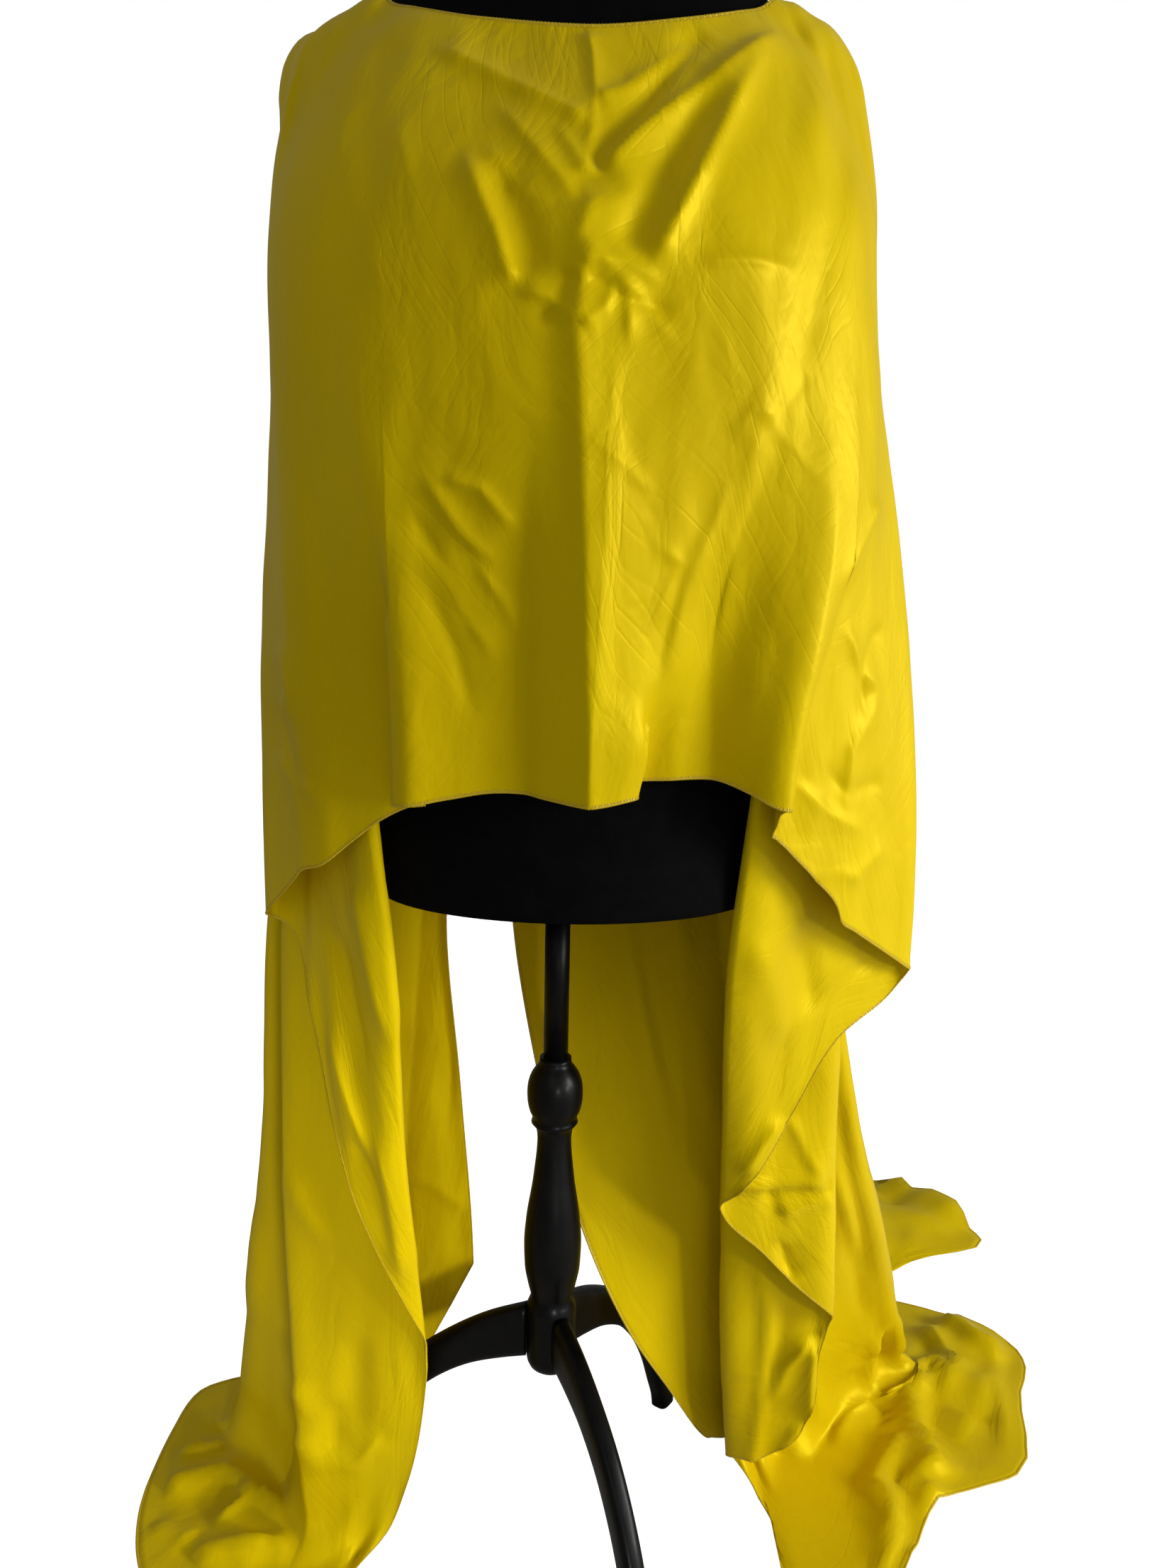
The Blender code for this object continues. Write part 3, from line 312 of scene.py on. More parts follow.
# The braid on each shoulder slope: two strands, each with its size and offset as shares of the radius.
BRAID_RADIUS = 2.7 * MM
STRAND_SIZE = 0.5
STRAND_OFFSET = 0.48
BRAID_GAP = 1.7 * MM
BRAID_LOW_Z = 1.5115
BRAID_HIGH_Z = 1.556

# Where the stand's pole is in the row's frame.
POLE_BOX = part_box("stand_pole")
FOOTPRINT = (POLE_BOX[0] + POLE_BOX[1]) / 2 * Vector((1, 1, 0))

# The fine cloth. A pitch is the size of a quad across and down the panel, and LONG_CHORD is the
# percentile of the chords between two rows that is cut to that size.
SHELL = 0.9 * MM
FRONT_PITCH = (3.9 * MM, 4.3 * MM)
BACK_PITCH = (7.0 * MM, 8.0 * MM)
MIN_CHORD = 1.0 * MM
LONG_CHORD = 75
LOWEST_CLOTH = 0.9 * MM
FORM_KEEP = 1.6 * MM
FORM_SEARCH = 0.05
FORM_RIM_NORMAL = -0.7
CREASE_REACH = 0.05
FLIP_SHARPNESS = 5.0
EDGE_KEEP = (0.0, 0.35, 0.7)
PLEAT_Z = 0.88
PLEAT_FADE = 0.08

# The photo's frame, and the camera about the pole that took it.
PHOTO_WIDTH = 1659
PHOTO_HEIGHT = 2212
CAMERA_SPOT = Vector((0.027, -1.12, 1.05))
CAMERA_PITCH = math.radians(11.0)
CAMERA_ROLL = math.radians(1.2)
CAMERA_LENS = 27.05
CAMERA_SENSOR = 36.0
PHOTO_FOCAL = CAMERA_LENS / CAMERA_SENSOR * PHOTO_HEIGHT

# How a spot in the photo finds the layer of cloth that shows there: the pixels that it looks round,
# what is added to a distance in pixels before it is weighed, the depth of one layer, what a pixel of
# distance counts in depth, and the square of a normal's z past which the cloth counts as flat.
SPOT_REACH = 15.0
SPOT_SOFTENING = 0.65
LAYER_DEPTH = 0.03
DEPTH_A_PIXEL = 0.00185
FLAT_SHARE = 0.5

# Creases. up is how far the cloth stands out, or sinks in below 0, and width is the reach
# on both sides. tip rounds a pressed fold (0 for a soft one). lean moves the steep side to the left
# (below 0) or to the right of the crease as it runs. fade_in and fade_out are the shares of its length
# where it dies away. A point of two numbers is a place in the photo, in its pixels, and one of three is
# a place about the pole, for what the photo hides or shows from the side only.
Crease = namedtuple("Crease", "name up width tip lean fade_in fade_out points")
FRONT_CREASES = (
    Crease("centre high", 0.0047, 0.0088, 0.0012, 0.2, 0.1, 0.02, (
        (828, 35), (837, 77), (839, 140), (832, 205), (824, 246))),
    Crease("centre", 0.01, 0.022, 0.0015, 0.2, 0.06, 0.01, (
        (824, 246), (834, 288), (818, 332), (820, 408), (815, 476), (822, 555), (825, 700), (830, 1000),
        (834, 1213))),
    Crease("left valley", -0.016, 0.04, 0.002, -0.3, 0.45, 0.01, (
        (765, 553), (748, 619), (737, 727), (734, 841), (734, 973), (736, 1206))),
    Crease("right valley", -0.0125, 0.036, 0.0025, 0.2, 0.01, 0.6, (
        (998, 1200), (1009, 973), (1023, 841), (1051, 752), (1089, 653), (1119, 575), (1148, 466))),
    Crease("right valley high", -0.004, 0.014, 0, 0, 0.3, 0.3, (
        (1119, 575), (1150, 442), (1175, 332), (1189, 221), (1185, 132))),
    Crease("right bulge", 0.0065, 0.034, 0, 0, 0.01, 0.7, (
        (1100, 1250), (1115, 973), (1139, 841), (1171, 719), (1205, 456))),
    Crease("vee left high", 0.006, 0.008, 0.0012, 0.3, 0.2, 0.1, ((604, 64), (720, 120), (834, 175))),
    Crease("left pleat high", 0.0043, 0.0088, 0.0012, 0.4, 0.35, 0.2, ((692, 136), (774, 232), (818, 290))),
    Crease("notch 1", 0.003, 0.0056, 0.0012, 0.3, 0.45, 0.45, ((774, 166), (807, 210), (830, 246))),
    Crease("notch 2", 0.0034, 0.0064, 0.0012, 0.3, 0.45, 0.45, ((686, 199), (730, 265), (774, 290))),
    Crease("vee right high", 0.0054, 0.0072, 0.0012, -0.3, 0.1, 0.25, ((837, 144), (885, 127), (992, 53))),
    Crease("vee right middle", -0.0063, 0.009, 0, 0.3, 0.1, 0.2, ((831, 246), (891, 166), (1000, 38))),
    Crease("vee right low", 0.0089, 0.0096, 0.0016, -0.4, 0.08, 0.2, (
        (840, 237), (918, 177), (995, 122), (1108, 44))),
    Crease("strong right", 0.0113, 0.012, 0.0016, 0.4, 0.12, 0.3, (
        (916, 387), (1000, 220), (1063, 96), (1095, 70))),
    Crease("strong right trough", -0.0084, 0.014, 0, 0, 0.15, 0.3, ((876, 367), (952, 225), (1020, 104))),
    Crease("strong left", 0.0077, 0.0088, 0.0012, -0.4, 0.3, 0.12, ((652, 207), (700, 320), (728, 406))),
    Crease("strong left trough", -0.007, 0.014, 0, 0, 0.25, 0.2, ((702, 216), (733, 309), (758, 397))),
    Crease("triangle 1", 0.0041, 0.0064, 0.0012, 0.3, 0.08, 0.3, ((819, 372), (874, 365), (940, 404))),
    Crease("triangle 2", -0.0041, 0.0064, 0.0012, 0, 0.08, 0.3, ((824, 387), (885, 420), (960, 448))),
    Crease("triangle 3", 0.0041, 0.0056, 0.0012, 0.3, 0.1, 0.3, ((821, 462), (852, 437), (874, 387))),
    Crease("triangle 4", 0.0031, 0.0048, 0.0012, 0.3, 0.2, 0.4, ((874, 382), (885, 420), (888, 497))),
    Crease("triangle 5", -0.0041, 0.0064, 0.0012, 0, 0.1, 0.3, ((813, 382), (785, 431), (753, 461))),
    Crease("triangle 6", 0.0041, 0.0056, 0.0012, 0.3, 0.3, 0.1, ((725, 408), (774, 420), (816, 456))),
    Crease("triangle 8", 0.0036, 0.0072, 0.0012, -0.3, 0.1, 0.5, ((821, 339), (885, 398), (970, 509))),
    Crease("cross", 0.0029, 0.0048, 0.0012, 0.3, 0.2, 0.4, ((979, 371), (1062, 367), (1127, 385))),
    Crease("streak 1", 0.0046, 0.0072, 0.0012, 0.3, 0.2, 0.3, ((594, 667), (651, 754), (710, 805))),
    Crease("streak 2", 0.0046, 0.0064, 0.0012, -0.3, 0.2, 0.2, ((618, 670), (677, 689), (729, 752))),
    Crease("streak 3", -0.0036, 0.0064, 0.0012, 0, 0.2, 0.3, ((575, 708), (619, 796), (689, 920))),
    Crease("streak 4", 0.0051, 0.008, 0.0016, 0.3, 0.3, 0.3, ((594, 760), (653, 860), (704, 946))),
    Crease("streak 5", -0.0041, 0.008, 0.0016, 0, 0.3, 0.3, ((586, 795), (636, 910), (673, 1030))),
    Crease("streak 6", 0.0036, 0.0064, 0.0012, 0.3, 0.3, 0.3, ((665, 788), (708, 852), (730, 904))),
    Crease("thread 1", 0.0019, 0.0056, 0.0012, 0.3, 0.3, 0.3, ((913, 756), (962, 796), (919, 891))),
    Crease("thread 2", 0.0022, 0.0056, 0.0012, 0.3, 0.3, 0.3, ((1012, 708), (969, 841), (940, 951))),
    Crease("thread 3", -0.0022, 0.0064, 0.0012, 0, 0.3, 0.3, ((973, 746), (951, 863), (923, 978))),
    Crease("thread 4", 0.0019, 0.0056, 0.0012, 0.3, 0.3, 0.3, ((1034, 662), (999, 776), (972, 874))),
    Crease("thread 5", 0.0019, 0.0072, 0.0012, 0, 0.1, 0.4, ((829, 614), (885, 656), (932, 716))),
    Crease("slant 1", 0.0011, 0.0072, 0.0016, 0.3, 0.2, 0.4, ((1060, 543), (1101, 610), (1187, 713))),
    Crease("slant 2", -0.0014, 0.0064, 0.0012, 0, 0.2, 0.4, ((1151, 523), (1106, 575), (1069, 636))),
    Crease("slant 3", 0.0016, 0.0064, 0.0012, -0.3, 0.3, 0.3, ((1029, 625), (1062, 575), (1111, 593))),
    Crease("edge right 1", 0.0051, 0.008, 0.0016, 0.3, 0.2, 0.4, ((1240, 693), (1206, 774), (1170, 849))),
    Crease("edge right 2", -0.0046, 0.008, 0.0016, 0, 0.2, 0.3, ((1249, 871), (1217, 940), (1222, 1029))),
    Crease("edge right 3", 0.0041, 0.008, 0.0016, 0.3, 0.2, 0.3, ((1246, 964), (1200, 1056), (1188, 1161))),
    Crease("edge right 4", 0.0041, 0.0072, 0.0012, 0.3, 0.3, 0.3, ((1189, 873), (1217, 951), (1251, 979))),
    Crease("edge right 5", -0.0031, 0.008, 0.0012, 0, 0.3, 0.2, ((1156, 1078), (1194, 1117), (1250, 1100))),
    Crease("edge right 6", 0.0033, 0.008, 0.0016, 0.3, 0.2, 0.2, (
        (1221, 1172), (1172, 1150), (1121, 1104))),
    Crease("edge right 7", 0.0031, 0.008, 0.0012, -0.3, 0.2, 0.3, (
        (1252, 1189), (1206, 1239), (1172, 1228))),
    Crease("edge left 1", 0.0041, 0.008, 0.0012, 0.3, 0.2, 0.3, ((393, 897), (412, 973), (398, 1029))),
    Crease("edge left 2", 0.0046, 0.0088, 0.0012, -0.3, 0.2, 0.4, ((388, 1054), (420, 1106), (487, 1130))),
    Crease("edge left 3", -0.0041, 0.0088, 0.0012, 0, 0.3, 0.3, ((389, 973), (407, 1063), (442, 1161))),
    Crease("shoulder left 1", 0.0012, 0.008, 0.0016, 0, 0.2, 0.4, ((476, 232), (487, 167), (533, 123))),
    Crease("shoulder left 2", 0.0012, 0.008, 0.0016, 0, 0.2, 0.4, ((554, 160), (575, 221), (599, 311))),
    Crease("shoulder left 3", -0.0025, 0.014, 0, 0, 0.2, 0.5, ((560, 29), (523, 155), (528, 338))),
    Crease("shoulder right", 0.004, 0.014, 0, 0, 0.2, 0.5, ((1131, 31), (1153, 146), (1137, 281))),
)
LEFT_CREASES = (
    Crease("spread 1", -0.008, 0.014, 0, 0, 0.2, 0.3, ((231, 2046), (274, 2031), (332, 2017))),
    Crease("spread 2", 0.02, 0.015, 0.002, 0.4, 0.05, 0.2, (
        (234, 2105), (274, 2094), (318, 2084), (415, 2070))),
    Crease("spread 3", 0.018, 0.015, 0.002, 0.4, 0.1, 0.2, (
        (274, 2211), (315, 2194), (367, 2186), (418, 2187))),
    Crease("spread 4", -0.006, 0.009, 0.002, 0, 0.3, 0.3, ((353, 2184), (373, 2170), (398, 2156))),
    Crease("spread 5", 0.014, 0.012, 0.002, 0.3, 0.2, 0.2, ((246, 2060), (284, 2050), (325, 2043))),
    Crease("spread 6", -0.008, 0.012, 0, 0, 0.2, 0.2, ((263, 2136), (305, 2125), (339, 2118))),
    Crease("spread 7", 0.014, 0.012, 0.002, -0.3, 0.2, 0.2, ((305, 2160), (332, 2136), (353, 2108))),
    Crease("spread 8", 0.008, 0.01, 0.002, 0.3, 0.2, 0.2, ((215, 2156), (243, 2163), (270, 2184))),
    Crease("spread 9", 0.011, 0.01, 0.002, 0.3, 0.2, 0.2, ((325, 2211), (353, 2198), (380, 2194))),
    Crease("fall 1", 0.0065, 0.009, 0.002, 0.3, 0.2, 0.3, ((418, 1943), (432, 1984), (441, 2001))),
    Crease("fall 2", 0.0065, 0.009, 0.002, -0.3, 0.2, 0.2, (
        (427, 2055), (453, 2063), (504, 2062), (539, 2019))),
    Crease("fall 4", -0.0065, 0.012, 0, 0, 0.3, 0.3, ((470, 1974), (474, 2025), (475, 2050))),
    Crease("fall 5", -0.0059, 0.014, 0, 0, 0.3, 0.3, ((499, 1864), (504, 1957), (502, 2043))),
    Crease("fall 6", 0.0059, 0.01, 0.002, 0.3, 0.3, 0.3, ((422, 2015), (435, 2043), (447, 2056))),
    Crease("flap 1", 0.0072, 0.011, 0.002, 0.3, 0.2, 0.3, (
        (503, 1233), (514, 1305), (531, 1394), (553, 1482))),
    Crease("flap 2", -0.0065, 0.011, 0.002, 0, 0.2, 0.3, ((476, 1305), (498, 1427), (520, 1526))),
    Crease("flap 3", 0.0059, 0.01, 0.002, -0.3, 0.3, 0.3, ((459, 1427), (487, 1537), (531, 1648))),
    Crease("flap 4", 0.0059, 0.01, 0.002, 0.3, 0.3, 0.2, ((531, 1582), (553, 1703), (570, 1803))),
    Crease("flap 5", -0.0052, 0.01, 0.002, 0, 0.3, 0.3, ((498, 1593), (536, 1681), (553, 1770))),
    Crease("back 6", 0.009, 0.018, 0.002, 0.2, 0.15, 0.2, (
        (-0.14, 0.14, 1.02), (-0.15, 0.14, 0.75), (-0.17, 0.14, 0.45), (-0.19, 0.14, 0.15))),
    Crease("back 7", -0.008, 0.022, 0, 0, 0.2, 0.3, (
        (-0.20, 0.14, 0.95), (-0.21, 0.14, 0.65), (-0.22, 0.14, 0.35))),
    Crease("back 8", 0.0065, 0.012, 0.002, -0.3, 0.2, 0.3, (
        (-0.09, 0.14, 0.92), (-0.11, 0.14, 0.62), (-0.13, 0.14, 0.35))),
    Crease("back 9", 0.005, 0.01, 0.002, 0.3, 0.2, 0.4, (
        (-0.06, 0.14, 1.16), (-0.12, 0.14, 1.06), (-0.20, 0.14, 1.02))),
    Crease("knee bend", 0.0045, 0.012, 0, 0, 0.3, 0.3, ((404, 1637), (442, 1725), (487, 1770))),
    Crease("outer bulge", 0.007, 0.02, 0, 0, 0.4, 0.4, (
        (-0.335, 0.105, 0.320), (-0.347, 0.120, 0.240), (-0.365, 0.135, 0.150))),
    Crease("outer dent", -0.005, 0.014, 0.002, 0, 0.4, 0.4, (
        (-0.322, 0.105, 0.300), (-0.330, 0.110, 0.230), (-0.340, 0.125, 0.170))),
    Crease("dark panel", 0.0035, 0.01, 0.002, 0.4, 0.2, 0.2, (
        (-0.190, 0.100, 0.345), (-0.140, 0.115, 0.330), (-0.102, 0.122, 0.300))),
    Crease("back 1", 0.009, 0.018, 0, 0.2, 0.3, 0.4, (
        (-0.190, 0.070, 1.420), (-0.200, 0.110, 1.250), (-0.205, 0.118, 1.050))),
    Crease("back 2", -0.008, 0.016, 0, 0, 0.3, 0.4, (
        (-0.150, 0.080, 1.430), (-0.150, 0.120, 1.260), (-0.165, 0.130, 1.080))),
    Crease("back 3", 0.0076, 0.014, 0.002, -0.2, 0.3, 0.4, (
        (-0.110, 0.085, 1.440), (-0.095, 0.125, 1.280), (-0.110, 0.135, 1.120))),
    Crease("back 4", 0.006, 0.01, 0.002, 0.4, 0.2, 0.4, (
        (-0.070, 0.090, 1.450), (-0.050, 0.120, 1.360), (-0.045, 0.132, 1.270))),
    Crease("back 5", -0.006, 0.012, 0.002, 0, 0.3, 0.3, (
        (-0.060, 0.135, 1.200), (-0.075, 0.140, 1.080), (-0.085, 0.142, 0.960))),
)
RIGHT_CREASES = (
    Crease("pleat 1", 0.0078, 0.01, 0.002, 0.2, 0.2, 0.1, (
        (1069, 1768), (1085, 1863), (1072, 1977), (1056, 2068))),
    Crease("pleat 2", -0.0078, 0.012, 0.002, 0, 0.2, 0.3, ((1107, 1827), (1094, 1909), (1077, 2000))),
    Crease("pleat 3", 0.0078, 0.01, 0.002, 0.3, 0.2, 0.3, ((1139, 1879), (1107, 1927), (1081, 1986))),
    Crease("pleat 4", 0.0104, 0.012, 0.002, 0.3, 0.1, 0.2, ((1141, 1879), (1143, 1977), (1170, 2054))),
    Crease("pleat 5", 0.0065, 0.01, 0.002, 0.3, 0.2, 0.2, ((1134, 2000), (1114, 2045), (1099, 2090))),
    Crease("column ridge", 0.01, 0.014, 0.002, 0.3, 0.3, 0.05, (
        (1183, 1636), (1210, 1772), (1231, 1877), (1228, 1922))),
    Crease("column trough", -0.007, 0.012, 0, 0, 0.3, 0.2, ((1197, 1727), (1219, 1836), (1246, 1900))),
    Crease("column edge", 0.007, 0.012, 0.002, 0.3, 0.3, 0.2, ((1210, 1636), (1246, 1809), (1268, 1927))),
    Crease("gather 1", 0.011, 0.013, 0.002, 0.3, 0.1, 0.3, ((1228, 1931), (1197, 1990), (1171, 2052))),
    Crease("gather 2", 0.015, 0.014, 0.002, 0.3, 0.2, 0.2, ((1272, 2027), (1246, 2072), (1210, 2109))),
    Crease("gather 3", -0.007, 0.014, 0, 0, 0.2, 0.2, ((1174, 2063), (1201, 2086), (1228, 2059))),
    Crease("spread 1", 0.028, 0.0225, 0.003, 0.3, 0.1, 0.2, (
        (1272, 1916), (1308, 1936), (1344, 1959), (1411, 1972))),
    Crease("spread 2", 0.026, 0.0165, 0.003, -0.4, 0.1, 0.1, (
        (1233, 1920), (1272, 1962), (1304, 2040), (1328, 2095))),
    Crease("spread 3", 0.014, 0.014, 0.002, 0, 0.2, 0.3, ((1278, 1968), (1317, 1975), (1353, 1961))),
    Crease("spread 4", -0.016, 0.018, 0, 0, 0.25, 0.2, ((1290, 2011), (1362, 2031), (1415, 2036))),
    Crease("spread 5", 0.024, 0.018, 0.003, 0.3, 0.2, 0.2, (
        (1317, 1863), (1353, 1884), (1375, 1902), (1424, 1916))),
    Crease("spread 6", 0.009, 0.014, 0.002, 0, 0.2, 0.2, (
        (1395, 1922), (1406, 1954), (1411, 1981), (1418, 2045))),
    Crease("spread 7", -0.01, 0.015, 0, 0, 0.3, 0.2, ((1272, 1863), (1313, 1909), (1362, 1936))),
    Crease("spread 8", 0.02, 0.014, 0.002, 0.3, 0.2, 0.2, ((1299, 1872), (1335, 1923), (1365, 1958))),
    Crease("spread 9", -0.012, 0.014, 0, 0, 0.2, 0.2, ((1353, 1977), (1375, 2000), (1411, 2011))),
    Crease("spread 10", 0.018, 0.013, 0.002, -0.3, 0.2, 0.2, ((1335, 1986), (1362, 2013), (1377, 2059))),
    Crease("gather 4", 0.018, 0.016, 0.002, 0.3, 0.2, 0.1, ((1228, 2086), (1255, 2136), (1272, 2208))),
    Crease("gather 5", -0.008, 0.014, 0, 0, 0.2, 0.1, ((1255, 2077), (1290, 2136), (1299, 2208))),
    Crease("gather 6", 0.016, 0.014, 0.002, -0.3, 0.2, 0.2, ((1281, 2077), (1313, 2104), (1326, 2145))),
    Crease("rear ridge", 0.011, 0.011, 0.002, 0.3, 0.2, 0.2, ((1255, 1718), (1290, 1713), (1339, 1736))),
    Crease("rear hump", 0.03, 0.034, 0, 0, 0.15, 0.2, (
        (1246, 1659), (1272, 1650), (1308, 1659), (1335, 1695), (1362, 1732))),
    Crease("rear hollow", -0.012, 0.02, 0, 0, 0.2, 0.3, ((1246, 1688), (1281, 1679), (1317, 1673))),
    Crease("rear fold", 0.01, 0.014, 0.002, 0, 0.2, 0.3, ((1246, 1700), (1299, 1704), (1344, 1713))),
    Crease("star 1", 0.0084, 0.01, 0.002, 0.3, 0.1, 0.2, ((1034, 1675), (1094, 1672), (1170, 1657))),
    Crease("star 2", -0.0078, 0.01, 0.002, 0, 0.2, 0.1, ((1067, 1687), (1116, 1682), (1172, 1675))),
    Crease("star 3", 0.0078, 0.01, 0.002, 0.3, 0.2, 0.1, ((1094, 1711), (1134, 1688), (1170, 1676))),
    Crease("star 5", -0.0078, 0.008, 0.002, 0.3, 0.3, 0.2, ((1101, 1748), (1110, 1782), (1118, 1800))),
    Crease("crossing", 0.006, 0.011, 0.002, -0.3, 0.2, 0.2, ((1043, 1650), (1076, 1609), (1103, 1573))),
    Crease("slant", 0.004, 0.008, 0.002, 0.3, 0.2, 0.3, ((1118, 1586), (1139, 1632), (1163, 1657))),
    Crease("flap patch", 0.0052, 0.016, 0, 0, 0.3, 0.3, ((1062, 1305), (1089, 1394), (1106, 1482))),
    Crease("flap trough", -0.0059, 0.014, 0, 0, 0.3, 0.3, ((1117, 1305), (1139, 1371), (1150, 1438))),
    Crease("back 6", 0.009, 0.018, 0.002, -0.2, 0.15, 0.2, (
        (0.14, 0.13, 1.02), (0.16, 0.13, 0.75), (0.21, 0.11, 0.45), (0.27, 0.14, 0.20))),
    Crease("back 7", -0.008, 0.022, 0, 0, 0.2, 0.3, (
        (0.21, 0.12, 0.95), (0.23, 0.12, 0.70), (0.28, 0.12, 0.40))),
    Crease("back 8", 0.0065, 0.012, 0.002, 0.3, 0.2, 0.3, (
        (0.06, 0.13, 0.85), (0.09, 0.13, 0.62), (0.15, 0.10, 0.38))),
    Crease("back 9", 0.006, 0.011, 0.002, 0.3, 0.2, 0.3, (
        (0.19, 0.12, 0.60), (0.24, 0.12, 0.38), (0.31, 0.16, 0.18))),
    Crease("back 10", 0.005, 0.01, 0.002, -0.3, 0.2, 0.4, (
        (0.06, 0.14, 1.16), (0.13, 0.13, 1.05), (0.21, 0.12, 1.03))),
    Crease("upright", -0.0035, 0.008, 0.002, 0.3, 0.1, 0.3, (
        (0.303, 0.000, 0.690), (0.304, 0.000, 0.665), (0.303, 0.000, 0.640))),
    Crease("outer ridge", 0.005, 0.012, 0.002, 0.3, 0.3, 0.3, (
        (0.296, 0.030, 0.580), (0.315, 0.070, 0.500), (0.345, 0.110, 0.360), (0.385, 0.160, 0.210),
        (0.410, 0.185, 0.120))),
    Crease("outer trough", -0.0045, 0.012, 0.002, 0, 0.3, 0.3, (
        (0.300, 0.060, 0.520), (0.322, 0.095, 0.400), (0.352, 0.125, 0.280), (0.378, 0.155, 0.180))),
    Crease("sweep 1", 0.004, 0.02, 0, 0, 0.3, 0.3, (
        (0.060, 0.140, 0.760), (0.090, 0.120, 0.560), (0.150, 0.100, 0.360))),
    Crease("sweep 2", 0.0035, 0.018, 0, 0, 0.3, 0.3, (
        (0.120, 0.120, 0.760), (0.140, 0.110, 0.560), (0.190, 0.110, 0.380))),
    Crease("back 1", 0.009, 0.018, 0, -0.2, 0.3, 0.4, (
        (0.195, 0.070, 1.420), (0.210, 0.110, 1.250), (0.220, 0.118, 1.050))),
    Crease("back 2", -0.008, 0.016, 0, 0, 0.3, 0.4, (
        (0.155, 0.080, 1.430), (0.160, 0.120, 1.260), (0.175, 0.130, 1.060))),
    Crease("back 3", 0.0076, 0.014, 0.002, 0.2, 0.3, 0.4, (
        (0.115, 0.085, 1.440), (0.100, 0.125, 1.300), (0.120, 0.135, 1.100))),
    Crease("back 4", 0.006, 0.01, 0.002, -0.4, 0.2, 0.4, (
        (0.065, 0.090, 1.450), (0.050, 0.120, 1.340), (0.040, 0.132, 1.240))),
    Crease("back 5", 0.006, 0.014, 0.002, 0, 0.3, 0.3, (
        (0.070, 0.135, 1.180), (0.060, 0.140, 1.040), (0.040, 0.142, 0.920))),
)

# Soft unevenness of the whole cloth: height, and the size of a wave across and along the fall.
Ripple = namedtuple("Ripple", "height across along seed")
RIPPLES = (Ripple(0.0024, 0.055, 0.220, 3.1), Ripple(0.0010, 0.022, 0.060, 11.7))

# On the floor the waves keep this share of their height, up to where the cloth hangs.
FLOOR_RIPPLE = 0.9
RIPPLE_LOW_Z = 0.02
RIPPLE_FADE = 0.10

# The overlocked hem and its stitches.
HEM_HALF_WIDTH = 1.5 * MM
HEM_HALF_THICKNESS = 0.9 * MM
HEM_SIDES = 6
HEM_INSET = 0.7
HEM_PITCH = 4 * MM
HEM_FLOOR_GAP = 0.1 * MM
STITCH_PITCH = 2.8 * MM
STITCH_REACH = 3.6 * MM
STITCH_HALF_WIDTH = 0.35 * MM
STITCH_RISE = 0.55 * MM
STITCH_OVERHANG = 0.6 * MM
STITCH_SLANTS = (0.15, 0.55)
STITCH_ROOT = 0.4
STITCH_FLOOR_GAP = 0.2 * MM

# How fine the form and the stand are.
COVER_SIDES = 64
FORM_COVER_SIDES = 96
FORM_SEARCH_SIDES = 64
FORM_SEARCH_STEP = 0.02
TURNING_PITCH = 4 * MM
LEG_PITCH = 5 * MM
LEG_SIDES = 28
STRAND_TURNS = 8
STRAND_SIDES = 8
STRAND_STEPS = 96

# A pressed line's length in gaps, how far the noise swings across half of it, and its depth's factor.
PRESS_LENGTH = 9
PRESS_WIDTH = 0.045
PRESS_HEIGHT = 1.15

# Colours of the black parts, dark and pale.
JERSEY = ((0.0008, 0.0007, 0.0007), (0.0022, 0.002, 0.002))
BRAID = ((0.012, 0.012, 0.012), (0.05, 0.048, 0.045))
LACQUER = ((0.0009, 0.0008, 0.0007), (0.0026, 0.0023, 0.002))

# The lights about the pole. A low light has a share of the low power, and its cone's angle in degrees.
FloorLight = namedtuple("FloorLight", "name share spot aim cone")
WINDOW_AIM = Vector((0.0, 0.0, 0.9))
KEY_SPOT = Vector((2.75, -1.05, 1.40))
KEY_SIZE = 1.1
FILL_SPOT = Vector((-0.6, -3.0, 2.3))
FILL_SIZE = 1.6
FLOOR_LIGHTS = (
    FloorLight("low right", 0.7, Vector((2.1, -1.5, 0.75)), Vector((0.0, 0.0, 0.25)), 32.0),
    FloorLight("low left", 1.2, Vector((0.6, -2.5, 0.6)), Vector((-0.34, -0.05, 0.30)), 23.0),
)
LIGHT_BLEND = 0.9
LIGHT_SOFTNESS = 0.15
FLOOR_REACH = 6.0
WHITE = (1, 1, 1, 1)


def lerp(a, b, t):
    """The value at share t between a and b."""
    return a + (b - a) * t


def smoothstep(t):
    """A soft rise from 0 to 1, level at both ends."""
    t = min(1.0, max(0.0, t))
    return t * t * (3.0 - 2.0 * t)


def along(rows, key, column, value):
    """Smooth value of one column of a table, read at a place on its key column."""
    keys = [getattr(row, key) for row in rows]
    values = [getattr(row, column) for row in rows]
    return spline(keys, values, value)


def spline(keys, values, at):
    """Cubic through a short table; flat past its ends."""
    if keys[0] > keys[-1]:
        keys = keys[::-1]
        values = values[::-1]
    if at <= keys[0]:
        return values[0]
    if at >= keys[-1]:
        return values[-1]
    i = max(k for k in range(len(keys) - 1) if keys[k] <= at)
    step = keys[i + 1] - keys[i]
    rise = (values[i + 1] - values[i]) / step
    slope_a = limited_slope(keys, values, i)
    slope_b = limited_slope(keys, values, i + 1)
    t = (at - keys[i]) / step
    bow = (slope_a - rise) * (1 - t) - (slope_b - rise) * t
    return values[i] + rise * step * t + step * t * (1 - t) * bow


